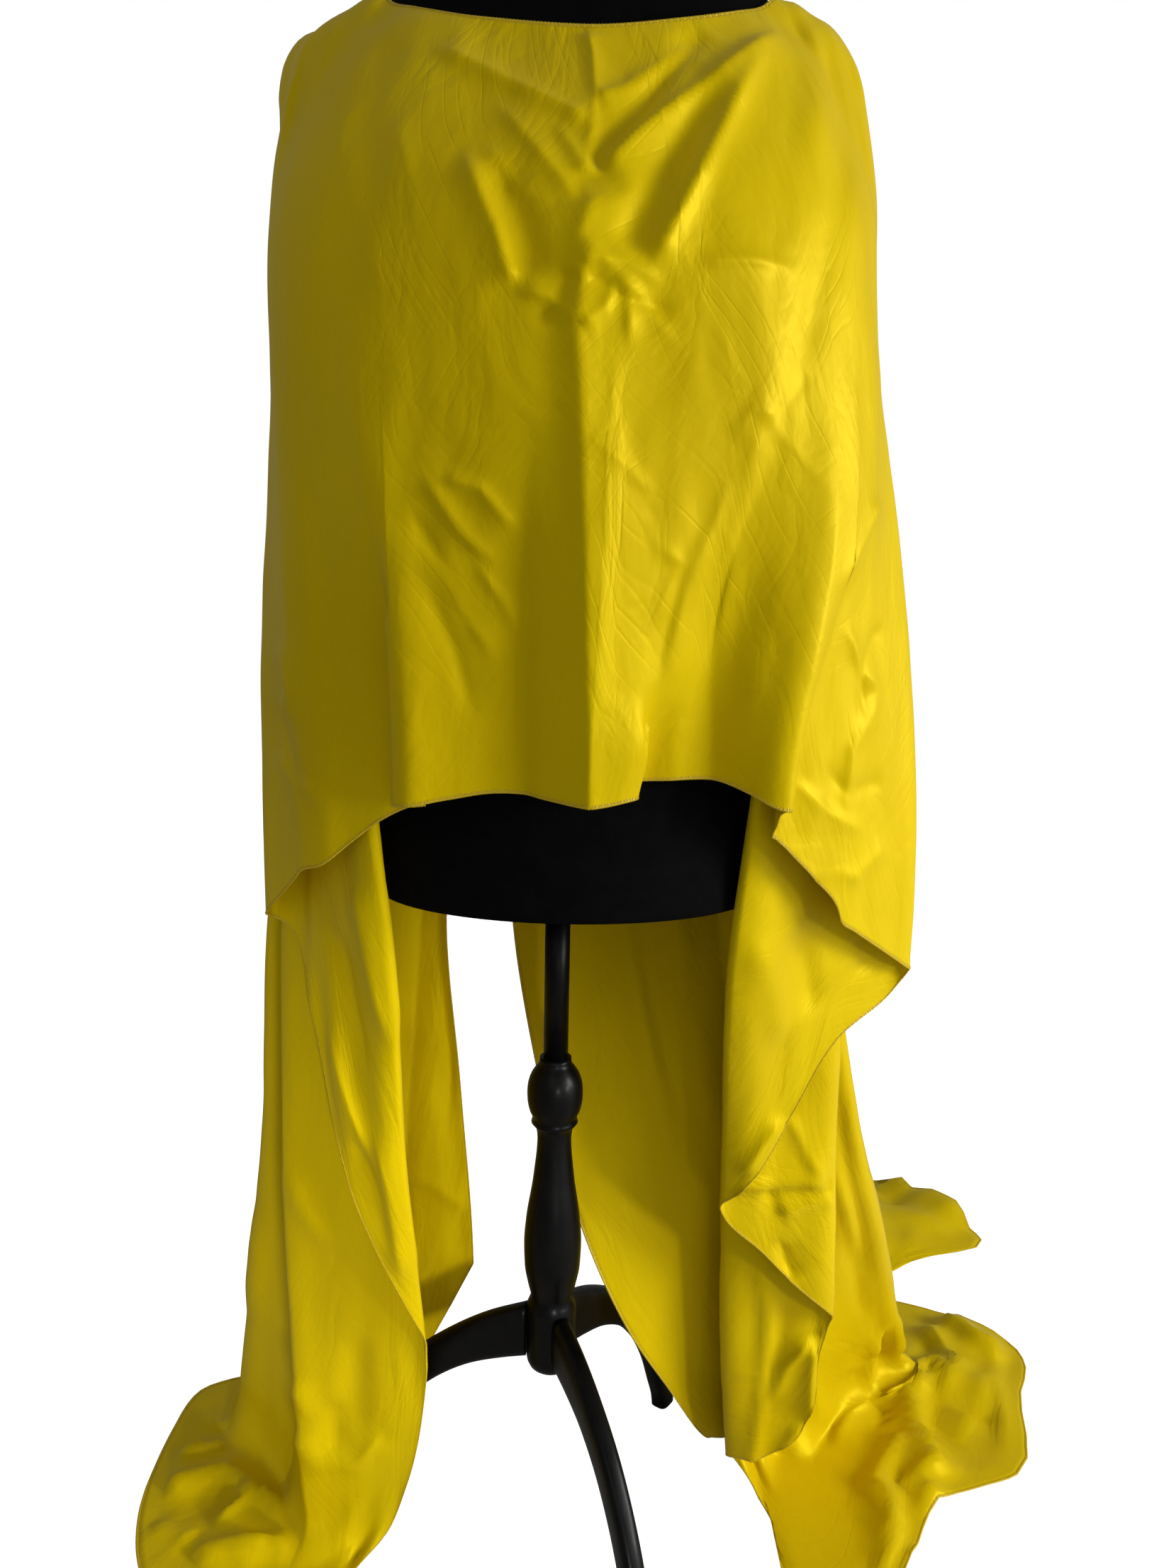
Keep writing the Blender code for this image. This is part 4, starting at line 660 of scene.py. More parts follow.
def limited_slope(keys, values, i):
    """Slope at a table row that never lets the curve swing past its rows."""
    if i in (0, len(keys) - 1):
        j = 0 if i == 0 else i - 1
        return (values[j + 1] - values[j]) / (keys[j + 1] - keys[j])
    before = (values[i] - values[i - 1]) / (keys[i] - keys[i - 1])
    after = (values[i + 1] - values[i]) / (keys[i + 1] - keys[i])
    if before * after <= 0:
        return 0.0
    return 2.0 * before * after / (before + after)


def form_ratio(p):
    """Below 1 inside the dress form, 1 on it, above 1 outside."""
    half = along(FORM_SECTIONS, "z", "half_x", p.z)
    centre = along(FORM_SECTIONS, "z", "centre_x", p.z)
    side = "front" if p.y < 0 else "back"
    depth = along(FORM_SECTIONS, "z", side, p.z)
    return math.hypot((p.x - centre) / half, p.y / depth)


def clear_of_form(p, clearance):
    """Move a point of the cloth out until it is clear of the dress form."""
    steps = [Vector(axis) * SLOPE_STEP for axis in ((1, 0, 0), (0, 1, 0), (0, 0, 1))]
    for _ in range(CLEAR_PUSHES):
        ratio = form_ratio(p)
        if ratio > CLEAR_RATIO:
            return p
        slope = Vector([form_ratio(p + step) - form_ratio(p - step) for step in steps]) / (2 * SLOPE_STEP)
        distance = (ratio - 1.0) / slope.length
        if distance >= clearance:
            return p
        p = p + slope.normalized() * (clearance - distance)
    return p


def keep_clear(rows):
    """Move the cloth out where the middle of a quad's side or diagonal is too near the dress form."""
    last = len(rows[0]) - 1

    def on_seam(i):
        return i in (0, last) and abs(rows[0][i].y) < SEAM_GAP

    for _ in range(CLEAR_PASSES):
        for dj, di in ((1, 0), (0, 1), (1, 1), (1, -1)):
            for j in range(len(rows) - dj):
                for i in range(max(0, -di), last + 1 - max(0, di)):
                    held_a, held_b = on_seam(i), on_seam(i + di)
                    middle = (rows[j][i] + rows[j + dj][i + di]) / 2
                    push = clear_of_form(middle, FORM_CLEARANCE) - middle
                    if held_a and held_b:
                        push.y = 0.0
                    elif held_a or held_b:
                        push = push * 2
                    if held_b or not held_a:
                        rows[j][i] = rows[j][i] + push
                    if held_a or not held_b:
                        rows[j + dj][i + di] = rows[j + dj][i + di] + push
    return rows


def smooth_plan(side, angle, z):
    """The cape's plan where it has no folds. side is front, left or right."""
    left = along(CAPE_SECTIONS, "z", "left", z)
    right = along(CAPE_SECTIONS, "z", "right", z)
    centre = (left + right) / 2 if side == "front" else 0.0
    half = {"front": (right - left) / 2, "left": -left, "right": right}[side]
    depth = along(CAPE_SECTIONS, "z", "front" if side == "front" else "back", z)
    turn = math.radians(angle)
    across = math.copysign(abs(math.cos(turn)) ** (2 / FULLNESS), math.cos(turn))
    out = -across if side in ("front", "left") else across
    return Vector((centre + half * out, depth * abs(math.sin(turn)) ** (2 / FULLNESS), 0.0))


def heading(direction):
    """The angle of a direction in plan."""
    return math.atan2(direction.y, direction.x)


def left_of(angle):
    """The direction in plan to the left of a heading."""
    return Vector((-math.sin(angle), math.cos(angle), 0.0))


def turned(start, end, sign):
    """Angle from start to end, kept short, the way that sign turns."""
    delta = (end - start + math.pi) % (2 * math.pi) - math.pi
    if delta * sign < -0.5:
        delta += 2 * math.pi * sign
    return delta


def disc(tips, radii, i, start_way, end_way):
    """Centre and turning sign of the disc that the cloth bends round at one tip."""
    tip = tips[i]
    if i == 0:
        sign = 1 if start_way[0] * start_way[1] < 0 else -1
        return tip + Vector((start_way[0] * radii[i], 0, 0)), sign
    if i == len(tips) - 1:
        sign = 1 if end_way[0] * end_way[1] < 0 else -1
        return tip + Vector((end_way[0] * radii[i], 0, 0)), sign
    before = tip - tips[i - 1]
    after = tips[i + 1] - tip
    sign = 1 if before.x * after.y - before.y * after.x > 0 else -1
    inward = after.normalized() - before.normalized()
    if inward.length < SAME_PLACE:
        inward = left_of(heading(after)) * sign
    return tip + inward.normalized() * radii[i], sign


def belt(tips, folds, start_way, end_way):
    """Plan points of a cloth that runs as a belt round a disc at every fold.

    start_way and end_way are (x towards the disc, y of travel) at a seam. An end of radius 0 is free.
    Returns rows of (u, point).
    """
    last = len(tips) - 1
    radii = []
    for i, fold in enumerate(folds):
        room = min((tips[i] - tips[k]).length for k in (i - 1, i + 1) if 0 <= k <= last)
        radii.append(min(fold.radius, TIGHTEST * room))
    discs = [disc(tips, radii, i, start_way, end_way) for i in range(last + 1)]
    angles = []
    for i in range(last):
        (centre_a, sign_a), (centre_b, sign_b) = discs[i], discs[i + 1]
        gap = centre_b - centre_a
        lean = (sign_b * radii[i + 1] - sign_a * radii[i]) / gap.length
        angles.append(heading(gap) - math.asin(max(-1.0, min(1.0, lean))))
    rows = []
    for i, (centre, sign) in enumerate(discs):
        into = angles[i - 1] if i else math.copysign(math.pi / 2, start_way[1])
        if i < last:
            out = angles[i]
        else:
            out = math.copysign(math.pi / 2, end_way[1]) if radii[i] else into
        turn = turned(into, out, sign)
        quads = folds[i].quads
        low = 0 if i == 0 else i - ARC_SPAN / 2
        high = last if i == last else i + ARC_SPAN / 2
        for k in range(quads + 1):
            t = k / quads if quads else 1.0
            way = into + turn * t
            rows.append((lerp(low, high, t), centre - left_of(way) * sign * radii[i]))
        if i < last:
            first_u, first = rows[-1]
            (centre_b, sign_b) = discs[i + 1]
            next_point = centre_b - left_of(angles[i]) * sign_b * radii[i + 1]
            next_u = i + 1 - (ARC_SPAN / 2 if folds[i + 1].quads else 0)
            for k in range(1, folds[i].spans):
                t = k / folds[i].spans
                rows.append((lerp(first_u, next_u, t), first.lerp(next_point, t)))
    return rows


def front_plan(z):
    """Plan of the front at one height: its folds grow from the smooth bust to the hem."""
    tips = []
    for fold in FRONT_FOLDS:
        grown = smoothstep((fold.start - z) / (fold.start - fold.z))
        plain = smooth_plan("front", fold.angle, z)
        tips.append(plain.lerp(Vector((fold.x, fold.y, 0)), grown))
    return blended("front", FRONT_FOLDS, belt(tips, FRONT_FOLDS, (1, -1), (-1, 1)), z, BELT_Z)


def back_plan(side, folds, z):
    """Plan of a back panel at one height."""
    at = min(z, HIP_Z)
    tips = []
    for fold in folds:
        spots = (fold.hip, fold.thigh, fold.knee, fold.shin, fold.floor)
        x = spline(LEVEL_Z, [spot[0] for spot in spots], at)
        y = spline(LEVEL_Z, [spot[1] for spot in spots], at)
        tips.append(Vector((x, y, 0)))
    tips[0].x = along(CAPE_SECTIONS, "z", side, z)
    way = (1, 1) if side == "left" else (-1, 1)
    return blended(side, folds, belt(tips, folds, way, (0, 1)), z, HIP_Z)


def blended(side, folds, rows, z, full_z):
    """Let the folded plan die out into the smooth one between full_z and the bust."""
    share = smoothstep((BUST_Z - z) / (BUST_Z - full_z))
    angles = [fold.angle for fold in folds]
    result = []
    for u, point in rows:
        plain = smooth_plan(side, spline(list(range(len(folds))), angles, u), z)
        result.append((u, plain.lerp(point, share)))
    return result


def top_points(side, edges, folds, us):
    """Rows from the top edge down to the bust, row by row."""
    columns = []
    for u in us:
        angle = spline(list(range(len(folds))), [fold.angle for fold in folds], u)
        edge = Vector([along(edges, "angle", axis, angle) for axis in ("x", "y", "z")])
        fall = Vector([0.0] + [along(edges, "angle", name, angle) for name in ("fall_y", "fall_z")])
        reach = along(edges, "angle", "reach", angle)
        bust = smooth_plan(side, angle, BUST_Z)
        bust.z = BUST_Z
        out = Vector((edge.x, 0, 0)).normalized() * abs(bust.x - edge.x) * FALL_SPREAD
        near = edge + fall.normalized() * reach + out
        low = bust + Vector((0, 0, FALL_LIFT))
        columns.append((edge, near, low, bust))
    rows = []
    for j in range(TOP_ROWS):
        t = (j / TOP_ROWS) ** TOP_CROWDING
        row = []
        for edge, near, low, bust in columns:
            p = edge * (1 - t) ** 3 + near * 3 * t * (1 - t) ** 2 + low * 3 * t * t * (1 - t)
            row.append(clear_of_form(p + bust * t ** 3, FORM_CLEARANCE))
        rows.append(row)
    return rows


def front_grid():
    """Points of the front, row by row from the neckline to the hem."""
    us = [u for u, _ in front_plan(BUST_Z)]
    hem = [spline(list(range(len(FRONT_FOLDS))), [fold.z for fold in FRONT_FOLDS], u) for u in us]
    rows = top_points("front", FRONT_EDGE, FRONT_FOLDS, us)
    for j in range(FRONT_ROWS + 1):
        row = []
        for i, low in enumerate(hem):
            z = lerp(BUST_Z, low, j / FRONT_ROWS)
            point = front_plan(z)[i][1]
            row.append(clear_of_form(Vector((point.x, point.y, z)), FORM_CLEARANCE))
        rows.append(row)
    return keep_clear(rows)


def read_train(trains, u):
    """The train between its rows."""
    return Train(u, *(along(trains, "u", name, u) for name in Train._fields[1:]))


def floor_point(contact, train, t):
    """A point on the part of a column that lies on the floor. t runs from its bend to its hem."""
    via = Vector((train.via_x, train.via_y, FLOOR_Z))
    end = Vector((train.x, train.y, FLOOR_Z))
    p = contact.lerp(via, t).lerp(via.lerp(end, t), t)
    p.z += train.arch * math.sin(math.pi * t) ** 2
    return p


def back_column(side, folds, hems, trains, i, u):
    """Points of one column of a back panel from the hip down, over the floor if it gets there."""
    def hung(z):
        point = back_plan(side, folds, z)[i][1]
        return Vector((point.x, point.y, z))

    low = along(hems, "u", "z", u)
    shin = low + LAST_DROP
    points = [hung(lerp(HIP_Z, shin, j / LEG_ROWS)) for j in range(1, LEG_ROWS + 1)]
    if low > 0:
        for j in range(1, LAST_ROWS + 1):
            points.append(hung(max(FLOOR_Z, lerp(shin, low, j / LAST_ROWS))))
        return points
    train = read_train(trains, u)
    contact = hung(0.0)
    contact.z = FLOOR_Z
    spots = [floor_point(contact, train, k / FLOOR_STEPS) for k in range(FLOOR_STEPS + 1)]
    length = sum((b - a).length for a, b in zip(spots, spots[1:]))
    radius = min(train.bend, length / 2)
    above = hung(max(radius, FLOOR_Z))
    beyond = floor_point(contact, train, radius / length)
    for j in range(1, LAST_ROWS + 1):
        at = (shin + length) * j / LAST_ROWS - (shin - radius)
        if at < 0:
            points.append(hung(radius - at))
        elif at < 2 * radius:
            t = at / (2 * radius)
            points.append(above.lerp(contact, t).lerp(contact.lerp(beyond, t), t))
        else:
            points.append(floor_point(contact, train, (at - radius) / length))
    return points


def back_grid(side, folds, edges, hems, trains):
    """Points of a back panel, row by row from the neckline to the hem."""
    us = [u for u, _ in back_plan(side, folds, BUST_Z)]
    rows = top_points(side, edges, folds, us)
    for j in range(BACK_ROWS + 1):
        z = lerp(BUST_Z, HIP_Z, j / BACK_ROWS)
        row = []
        for _, point in back_plan(side, folds, z):
            row.append(clear_of_form(Vector((point.x, point.y, z)), FORM_CLEARANCE))
        rows.append(row)
    rows = keep_clear(rows)
    columns = [back_column(side, folds, hems, trains, i, u) for i, u in enumerate(us)]
    for j in range(LEG_ROWS + LAST_ROWS):
        rows.append([column[j] for column in columns])
    return rows


def tube_faces(rings, count):
    """Faces of a closed tube of rings with count points each, capped flat at both ends."""
    faces = []
    for j in range(rings - 1):
        for i in range(count):
            k = (i + 1) % count
            faces.append((j * count + i, j * count + k, (j + 1) * count + k, (j + 1) * count + i))
    return faces + [tuple(range(count - 1, -1, -1)), tuple(range((rings - 1) * count, rings * count))]


def ringed(rings):
    """A closed body through rings of equal count."""
    return [p for ring in rings for p in ring], tube_faces(len(rings), len(rings[0]))


def turned_body(profile, sides):
    """A body turned round the pole."""
    rings = []
    for cut in profile:
        ring = []
        for k in range(sides):
            turn = 2 * math.pi * k / sides
            ring.append(Vector((cut.radius * math.cos(turn), cut.radius * math.sin(turn), cut.z)))
        rings.append(ring)
    return ringed(rings)


def stand_leg(angle, sides):
    """One leg, from the hub down to its foot, with a rounded square section."""
    turn = math.radians(angle)
    out = Vector((math.cos(turn), math.sin(turn), 0))
    across = Vector((-math.sin(turn), math.cos(turn), 0))
    up = Vector((0, 0, 1))
    rings = []
    last = len(LEG_PROFILE) - 1
    for k, cut in enumerate(LEG_PROFILE):
        before = LEG_PROFILE[max(k - 1, 0)]
        after = LEG_PROFILE[min(k + 1, last)]
        ahead = out * (after.radius - before.radius) + up * (after.z - before.z)
        ahead.normalize()
        rise = across.cross(ahead)
        if k == 0:
            rise = -up
        if k >= last - 1:
            rise = -out
        centre = out * cut.radius + up * cut.z
        ring = []
        for i in range(sides):
            part = 2 * math.pi * (i + 0.5) / sides
            wide = rounded(math.cos(part)) * LEG_WIDTH / 2
            tall = rounded(math.sin(part)) * cut.height / 2
            ring.append(centre + across * wide + rise * tall)
        rings.append(ring)
    return ringed(rings)


def rounded(share):
    """A sine or cosine drawn out towards a square."""
    return math.copysign(abs(share) ** LEG_SQUARENESS, share)


def shifted(rows, y):
    """The rows moved along y."""
    return [[p + Vector((0, y, 0)) for p in row] for row in rows]


def slit_gap(rows, side):
    """Keep the centre-back edges a seam's gap apart where they meet."""
    for row in rows:
        row[-1] = row[-1] + Vector((side * SEAM_GAP / 2, 0, 0))
    return rows


def join_centre_back(left, right):
    """Bring both centre-back edges together from the neckline down to the slit."""
    for row_left, row_right in zip(left, right):
        z = row_left[-1].z
        if z < SLIT_Z - SAME_PLACE or abs(z - row_right[-1].z) > SAME_PLACE:
            break
        middle = (row_left[-1] + row_right[-1]) / 2
        row_left[-1] = middle.copy()
        row_right[-1] = middle.copy()
    return slit_gap(left, -1), slit_gap(right, 1)


def resampled(grid, pitch):
    """The grid refined along its first axis, on a smooth curve through each of its points."""
    chords = np.maximum(np.linalg.norm(np.diff(grid, axis=0), axis=2), MIN_CHORD)[:, :, None]
    steps = np.diff(grid, axis=0) / chords
    slopes = np.empty_like(grid)
    slopes[0], slopes[-1] = steps[0], steps[-1]
    before, after = chords[:-1], chords[1:]
    slopes[1:-1] = (steps[:-1] * after + steps[1:] * before) / (before + after)
    parts = []
    for k in range(len(chords)):
        count = max(2, int(round(float(np.percentile(chords[k], LONG_CHORD)) / pitch)))
        t = (np.arange(count) / count)[:, None, None]
        rise = grid[k + 1] - grid[k]
        curve = grid[k] + rise * (3 - 2 * t) * t * t
        curve += chords[k] * (slopes[k] * t * (1 - t) ** 2 - slopes[k + 1] * t * t * (1 - t))
        parts.append(curve)
    parts.append(grid[-1:])
    return np.concatenate(parts)


def fine_normals(grid):
    """Unit normals of a fine grid, on the same side as the CAD wall's outer face."""
    down = np.gradient(grid, axis=0)
    across = np.gradient(grid, axis=1)
    normals = np.cross(down, across)
    return normals / np.maximum(np.linalg.norm(normals, axis=2, keepdims=True), TINY)


def crease_profile(distance, width, tip):
    """A crease's share of its height: soft all over, or a pressed fold with a small round tip."""
    if tip:
        return np.exp((tip - np.hypot(distance, tip)) / width)
    return np.exp(-(distance / width) ** 2)


def photo_view(points):
    """Where points about the pole are in the photo, in its pixels, and how far from the camera."""
    view = np.array((Matrix.Translation(CAMERA_SPOT) @ camera_turn()).inverted())
    seen = points @ view[:3, :3].T + view[:3, 3]
    depth = -seen[:, 2]
    middle = np.array((PHOTO_WIDTH, PHOTO_HEIGHT)) / 2
    return middle + PHOTO_FOCAL * seen[:, :2] * (1, -1) / depth[:, None], depth


def photo_place(spot, points, normals, pixels, depth):
    """The place and the normal of a panel's nearest layer at one spot of the photo."""
    off = np.linalg.norm(pixels - spot, axis=1)
    near = np.flatnonzero(off < SPOT_REACH)
    if not len(near):
        edge = np.argmin(off)
        lies = normals[edge][2] ** 2 > FLAT_SHARE
        right, down = (0, 0) if lies else (spot - pixels[edge]) * depth[edge] / PHOTO_FOCAL
        return points[edge] + (right, 0.0, -down), normals[edge]
    first = near[np.argmin(depth[near] + DEPTH_A_PIXEL * off[near])]
    layer = near[np.abs(depth[near] - depth[first]) < LAYER_DEPTH]
    share = 1.0 / (off[layer] + SPOT_SOFTENING)
    return share @ points[layer] / share.sum(), normals[first]


def crease_route(crease, points, normals, pixels, depth):
    """A crease's places about the pole, and whether the cloth lies flat there."""
    if len(crease.points[0]) == 3:
        return np.array(crease.points), False
    found = [photo_place(spot, points, normals, pixels, depth) for spot in crease.points]
    flat = np.mean([normal[2] ** 2 for _, normal in found]) > FLAT_SHARE
    return np.array([place for place, _ in found]), flat


def crease_lift(points, crease, route, flat):
    """How far one crease moves each point along the cloth's normal."""
    first, second, third = (0, 1, 2) if flat else (0, 2, 1)
    lift = np.zeros(len(points))
    nearest = np.full(len(points), np.inf)
    runs = np.hypot(np.diff(route[:, first]), np.diff(route[:, second]))
    total = runs.sum()
    start = 0.0
    for run, a, b in zip(runs, route, route[1:]):
        along_x, along_y = (b[first] - a[first]) / run, (b[second] - a[second]) / run
        from_x, from_y = points[:, first] - a[first], points[:, second] - a[second]
        t = np.clip((from_x * along_x + from_y * along_y) / run, 0.0, 1.0)
        distance = np.hypot(from_x - along_x * run * t, from_y - along_y * run * t)
        side = np.sign(along_x * from_y - along_y * from_x)
        depth = np.abs(points[:, third] - (a[third] + (b[third] - a[third]) * t))
        width = crease.width * (1.0 + crease.lean * side)
        place = (start + run * t) / total
        ends = np.clip(place / crease.fade_in, 0, 1) * np.clip((1 - place) / crease.fade_out, 0, 1)
        reach = np.clip(2.0 - depth / CREASE_REACH, 0, 1)
        share = crease_profile(distance, width, crease.tip)
        here = crease.up * share * ends * ends * (3 - 2 * ends) * reach
        lift = np.where(distance < nearest, here, lift)
        nearest = np.minimum(nearest, distance)
        start += run
    return lift


def rippled(points, share):
    """Soft waves of the cloth, as heights."""
    heights = np.zeros(len(points))
    for ripple in RIPPLES:
        for k, (x, y, z) in enumerate(points):
            spot = Vector((x / ripple.across, y / ripple.across + ripple.seed, z / ripple.along))
            heights[k] += ripple.height * noise.noise(spot)
    return heights * share


def off_the_form(points, torso):
    """Points moved out where they are too near the dress form."""
    for k, point in enumerate(points):
        if point[2] < FORM_SECTIONS[0].z - FORM_KEEP:
            continue
        spot, normal, _, _ = torso.find_nearest(Vector(point), FORM_SEARCH)
        if spot is None or normal.z < FORM_RIM_NORMAL:
            continue
        out = (Vector(point) - spot).dot(normal)
        if out < FORM_KEEP:
            points[k] = spot + normal * FORM_KEEP
    return points


def outward(normals, crease, flat):
    """1 where the normals point the way that a crease's height is meant, and -1 where they don't.

    The way is up on flat cloth, to the back for creases named so, and otherwise to the front.
    """
    if flat:
        return np.clip(normals[:, 2] * FLIP_SHARPNESS, -1.0, 1.0)
    way = 1.0 if crease.name.startswith("back") else -1.0
    return way * np.clip(normals[:, 1] * FLIP_SHARPNESS, -1.0, 1.0)


def fine_cloth(rows, pitch, creases, torso, ripple_share):
    """The control grid of a panel as a fine grid of points with its creases."""
    grid = np.array([[tuple(p) for p in row] for row in rows])
    grid = resampled(grid, pitch[1])
    grid = resampled(grid.transpose(1, 0, 2), pitch[0]).transpose(1, 0, 2)
    shape = grid.shape
    normals = fine_normals(grid).reshape(-1, 3)
    points = grid.reshape(-1, 3)
    share = np.clip((points[:, 2] - RIPPLE_LOW_Z) / RIPPLE_FADE, FLOOR_RIPPLE, 1.0)
    edge = np.ones(shape[:2])
    for k, keep in enumerate(EDGE_KEEP):
        edge[k, :] = np.minimum(edge[k, :], keep)
        edge[:, k] = np.minimum(edge[:, k], keep)
        edge[:, -1 - k] = np.minimum(edge[:, -1 - k], keep)
    lift = rippled(points, share * ripple_share) * np.clip(
        (normals[:, 2] - normals[:, 1]) * FLIP_SHARPNESS, -1.0, 1.0)
    pixels, depth = photo_view(points)
    for crease in creases:
        route, flat = crease_route(crease, points, normals, pixels, depth)
        lift += crease_lift(points, crease, route, flat) * outward(normals, crease, flat)
    points = points + normals * (lift * edge.reshape(-1))[:, None]
    points = off_the_form(points, torso)
    points[:, 2] = np.maximum(points[:, 2], LOWEST_CLOTH)
    return points.reshape(shape)


def short_pleat(rows):
    """The front with its small pleat let out above PLEAT_Z, where the cloth runs straight past it."""
    us = [u for u, _ in front_plan(BUST_Z)]
    names = [fold.name for fold in FRONT_FOLDS]
    low, high = names.index("centre ridge") + ARC_SPAN / 2, names.index("right middle") - ARC_SPAN / 2
    inside = [i for i, u in enumerate(us) if low < u < high]
    first, last = inside[0] - 1, inside[-1] + 1
    for row in rows:
        share = smoothstep((row[first].z - PLEAT_Z) / PLEAT_FADE)
        for i in inside:
            straight = row[first].lerp(row[last], (i - first) / (last - first))
            row[i] = row[i].lerp(Vector((straight.x, straight.y, row[i].z)), share * pleat_share(row[i].z))
    return rows


def pleat_share(z):
    """1 below the bust, and dying out to 0 at its height."""
    return 1.0 - smoothstep((z - BUST_Z + PLEAT_FADE) / PLEAT_FADE)


def camera_turn():
    """The camera's rotation, with its tilt down and its roll."""
    tilt = Matrix.Rotation(math.pi / 2 - CAMERA_PITCH, 4, "X")
    return tilt @ Matrix.Rotation(CAMERA_ROLL, 4, "Z")


def moved(grid):
    """A grid about the pole, in the row's frame."""
    return grid + np.array(FOOTPRINT)


def mesh_object(name, verts, faces, body="root"):
    """A smooth-shaded mesh that rides on a body."""
    mesh = bpy.data.meshes.new(name)
    mesh.from_pydata([tuple(v) for v in verts], [], faces)
    mesh.update()
    mesh.polygons.foreach_set("use_smooth", [True] * len(mesh.polygons))
    thing = bpy.data.objects.new(name, mesh)
    bpy.context.scene.collection.objects.link(thing)
    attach(thing, body)
    return thing


def cloth_object(name, grid):
    """The sheet with its UV map in metres, across and down the cloth."""
    count_j, count_i = grid.shape[:2]
    index = np.arange(count_j * count_i).reshape(count_j, count_i)
    quads = np.stack((index[:-1, :-1], index[1:, :-1], index[1:, 1:], index[:-1, 1:]), axis=-1)
    thing = mesh_object(name, moved(grid).reshape(-1, 3), quads.reshape(-1, 4).tolist())
    across = np.linalg.norm(np.diff(grid, axis=1), axis=2).mean(axis=0)
    down = np.linalg.norm(np.diff(grid, axis=0), axis=2).mean(axis=1)
    u = np.concatenate(([0.0], np.cumsum(across)))
    v = -np.concatenate(([0.0], np.cumsum(down)))
    layer = thing.data.uv_layers.new(name="Cloth")
    corners = np.empty(len(thing.data.loops), dtype=np.int32)
    thing.data.loops.foreach_get("vertex_index", corners)
    flat = np.stack((u[corners % count_i], v[corners // count_i]), axis=1)
    layer.data.foreach_set("uv", flat.astype(np.float32).ravel())
    shell = thing.modifiers.new("Thickness", "SOLIDIFY")
    shell.thickness = SHELL
    shell.offset = 0.0
    return thing


def swept(path, section, normals, inwards):
    """A closed tube of a constant section along a path. A section point is (inward, up)."""
    verts = []
    for point, normal, inward in zip(path, normals, inwards):
        verts += [point + inward * a + normal * b for a, b in section]
    return verts, tube_faces(len(path), len(section))


def edge_frames(grid, edge):
    """Points, normals and inward directions along one edge of a fine grid."""
    normals = fine_normals(grid)
    if edge == "hem":
        line, inner, out = grid[-1], grid[-3], normals[-1]
    elif edge == "neck":
        line, inner, out = grid[0], grid[2], normals[0]
    else:
        first = int(np.argmax(grid[:, -1, 2] < SLIT_Z))
        line, inner, out = grid[first:, -1], grid[first:, -3], normals[first:, -1]
    inward = inner - line
    inward /= np.maximum(np.linalg.norm(inward, axis=1, keepdims=True), TINY)
    return line, out, inward


def even_path(line, out, inward, pitch):
    """The same edge at an even pitch."""
    steps = np.linalg.norm(np.diff(line, axis=0), axis=1)
    keys = np.concatenate(([0.0], np.cumsum(steps)))
    at = np.linspace(0.0, keys[-1], max(2, int(keys[-1] / pitch)))

    def read(values):
        return np.stack([np.interp(at, keys, values[:, axis]) for axis in range(3)], axis=1)

    return read(line), read(out), read(inward)


def hem_body(grid, edges):
    """The rolled edge: a flat tube over each named edge."""
    section = []
    for k in range(HEM_SIDES):
        turn = 2 * math.pi * k / HEM_SIDES
        section.append((HEM_HALF_WIDTH * (HEM_INSET + math.cos(turn)), HEM_HALF_THICKNESS * math.sin(turn)))
    tubes = []
    for edge in edges:
        line, out, inward = even_path(*edge_frames(grid, edge), HEM_PITCH)
        line[:, 2] = np.maximum(line[:, 2], HEM_HALF_THICKNESS + HEM_FLOOR_GAP)
        tubes.append(swept(moved(line), section, out, inward))
    return joined(tubes)


def stitch_body(grid, edges):
    """Overlock threads: a thin raised bar across the edge at each stitch, slanted in turn."""
    verts, faces = [], []
    for edge in edges:
        line, out, inward = even_path(*edge_frames(grid, edge), STITCH_PITCH)
        lifted = moved(line)
        for k in range(len(line) - 1):
            ahead = lifted[k + 1] - lifted[k]
            slant = ahead * STITCH_SLANTS[k % 2]
            start = lifted[k] - inward[k] * STITCH_OVERHANG
            end = lifted[k] + inward[k] * STITCH_REACH + slant
            side = ahead / max(np.linalg.norm(ahead), TINY) * STITCH_HALF_WIDTH
            rise = out[k] * (HEM_HALF_THICKNESS + STITCH_RISE)
            for way in (1.0, -1.0):
                base = len(verts)
                low = out[k] * HEM_HALF_THICKNESS * STITCH_ROOT * way
                middle = (start + end) / 2 + rise * way
                verts += [start - side + low, start + side + low, middle - side, middle + side,
                          end - side + low, end + side + low]
                faces += [(base, base + 1, base + 3, base + 2), (base + 2, base + 3, base + 5, base + 4)]
    for k, vert in enumerate(verts):
        if vert[2] < STITCH_FLOOR_GAP:
            verts[k] = np.array((vert[0], vert[1], STITCH_FLOOR_GAP))
    return verts, faces


def form_rings(sections, sides, step):
    """The dress form again, with smooth curves between its sections."""
    low, high = sections[0].z, sections[-2].z
    count = int((high - low) / step)
    rings = []
    for k in range(count + 1):
        z = lerp(low, high, k / count)
        rings.append(form_ring(z, sides))
    rings.append(form_ring(sections[-1].z, sides))
    return rings


def form_ring(z, sides):
    """The dress form's outline at one height."""
    centre = along(FORM_SECTIONS, "z", "centre_x", z)
    half = along(FORM_SECTIONS, "z", "half_x", z)
    front = -along(FORM_SECTIONS, "z", "front", z)
    back = along(FORM_SECTIONS, "z", "back", z)
    ring = []
    for k in range(sides):
        turn = 2 * math.pi * k / sides
        depth = back if math.sin(turn) > 0 else front
        ring.append(Vector((centre + half * math.cos(turn), depth * math.sin(turn), z)))
    return ring


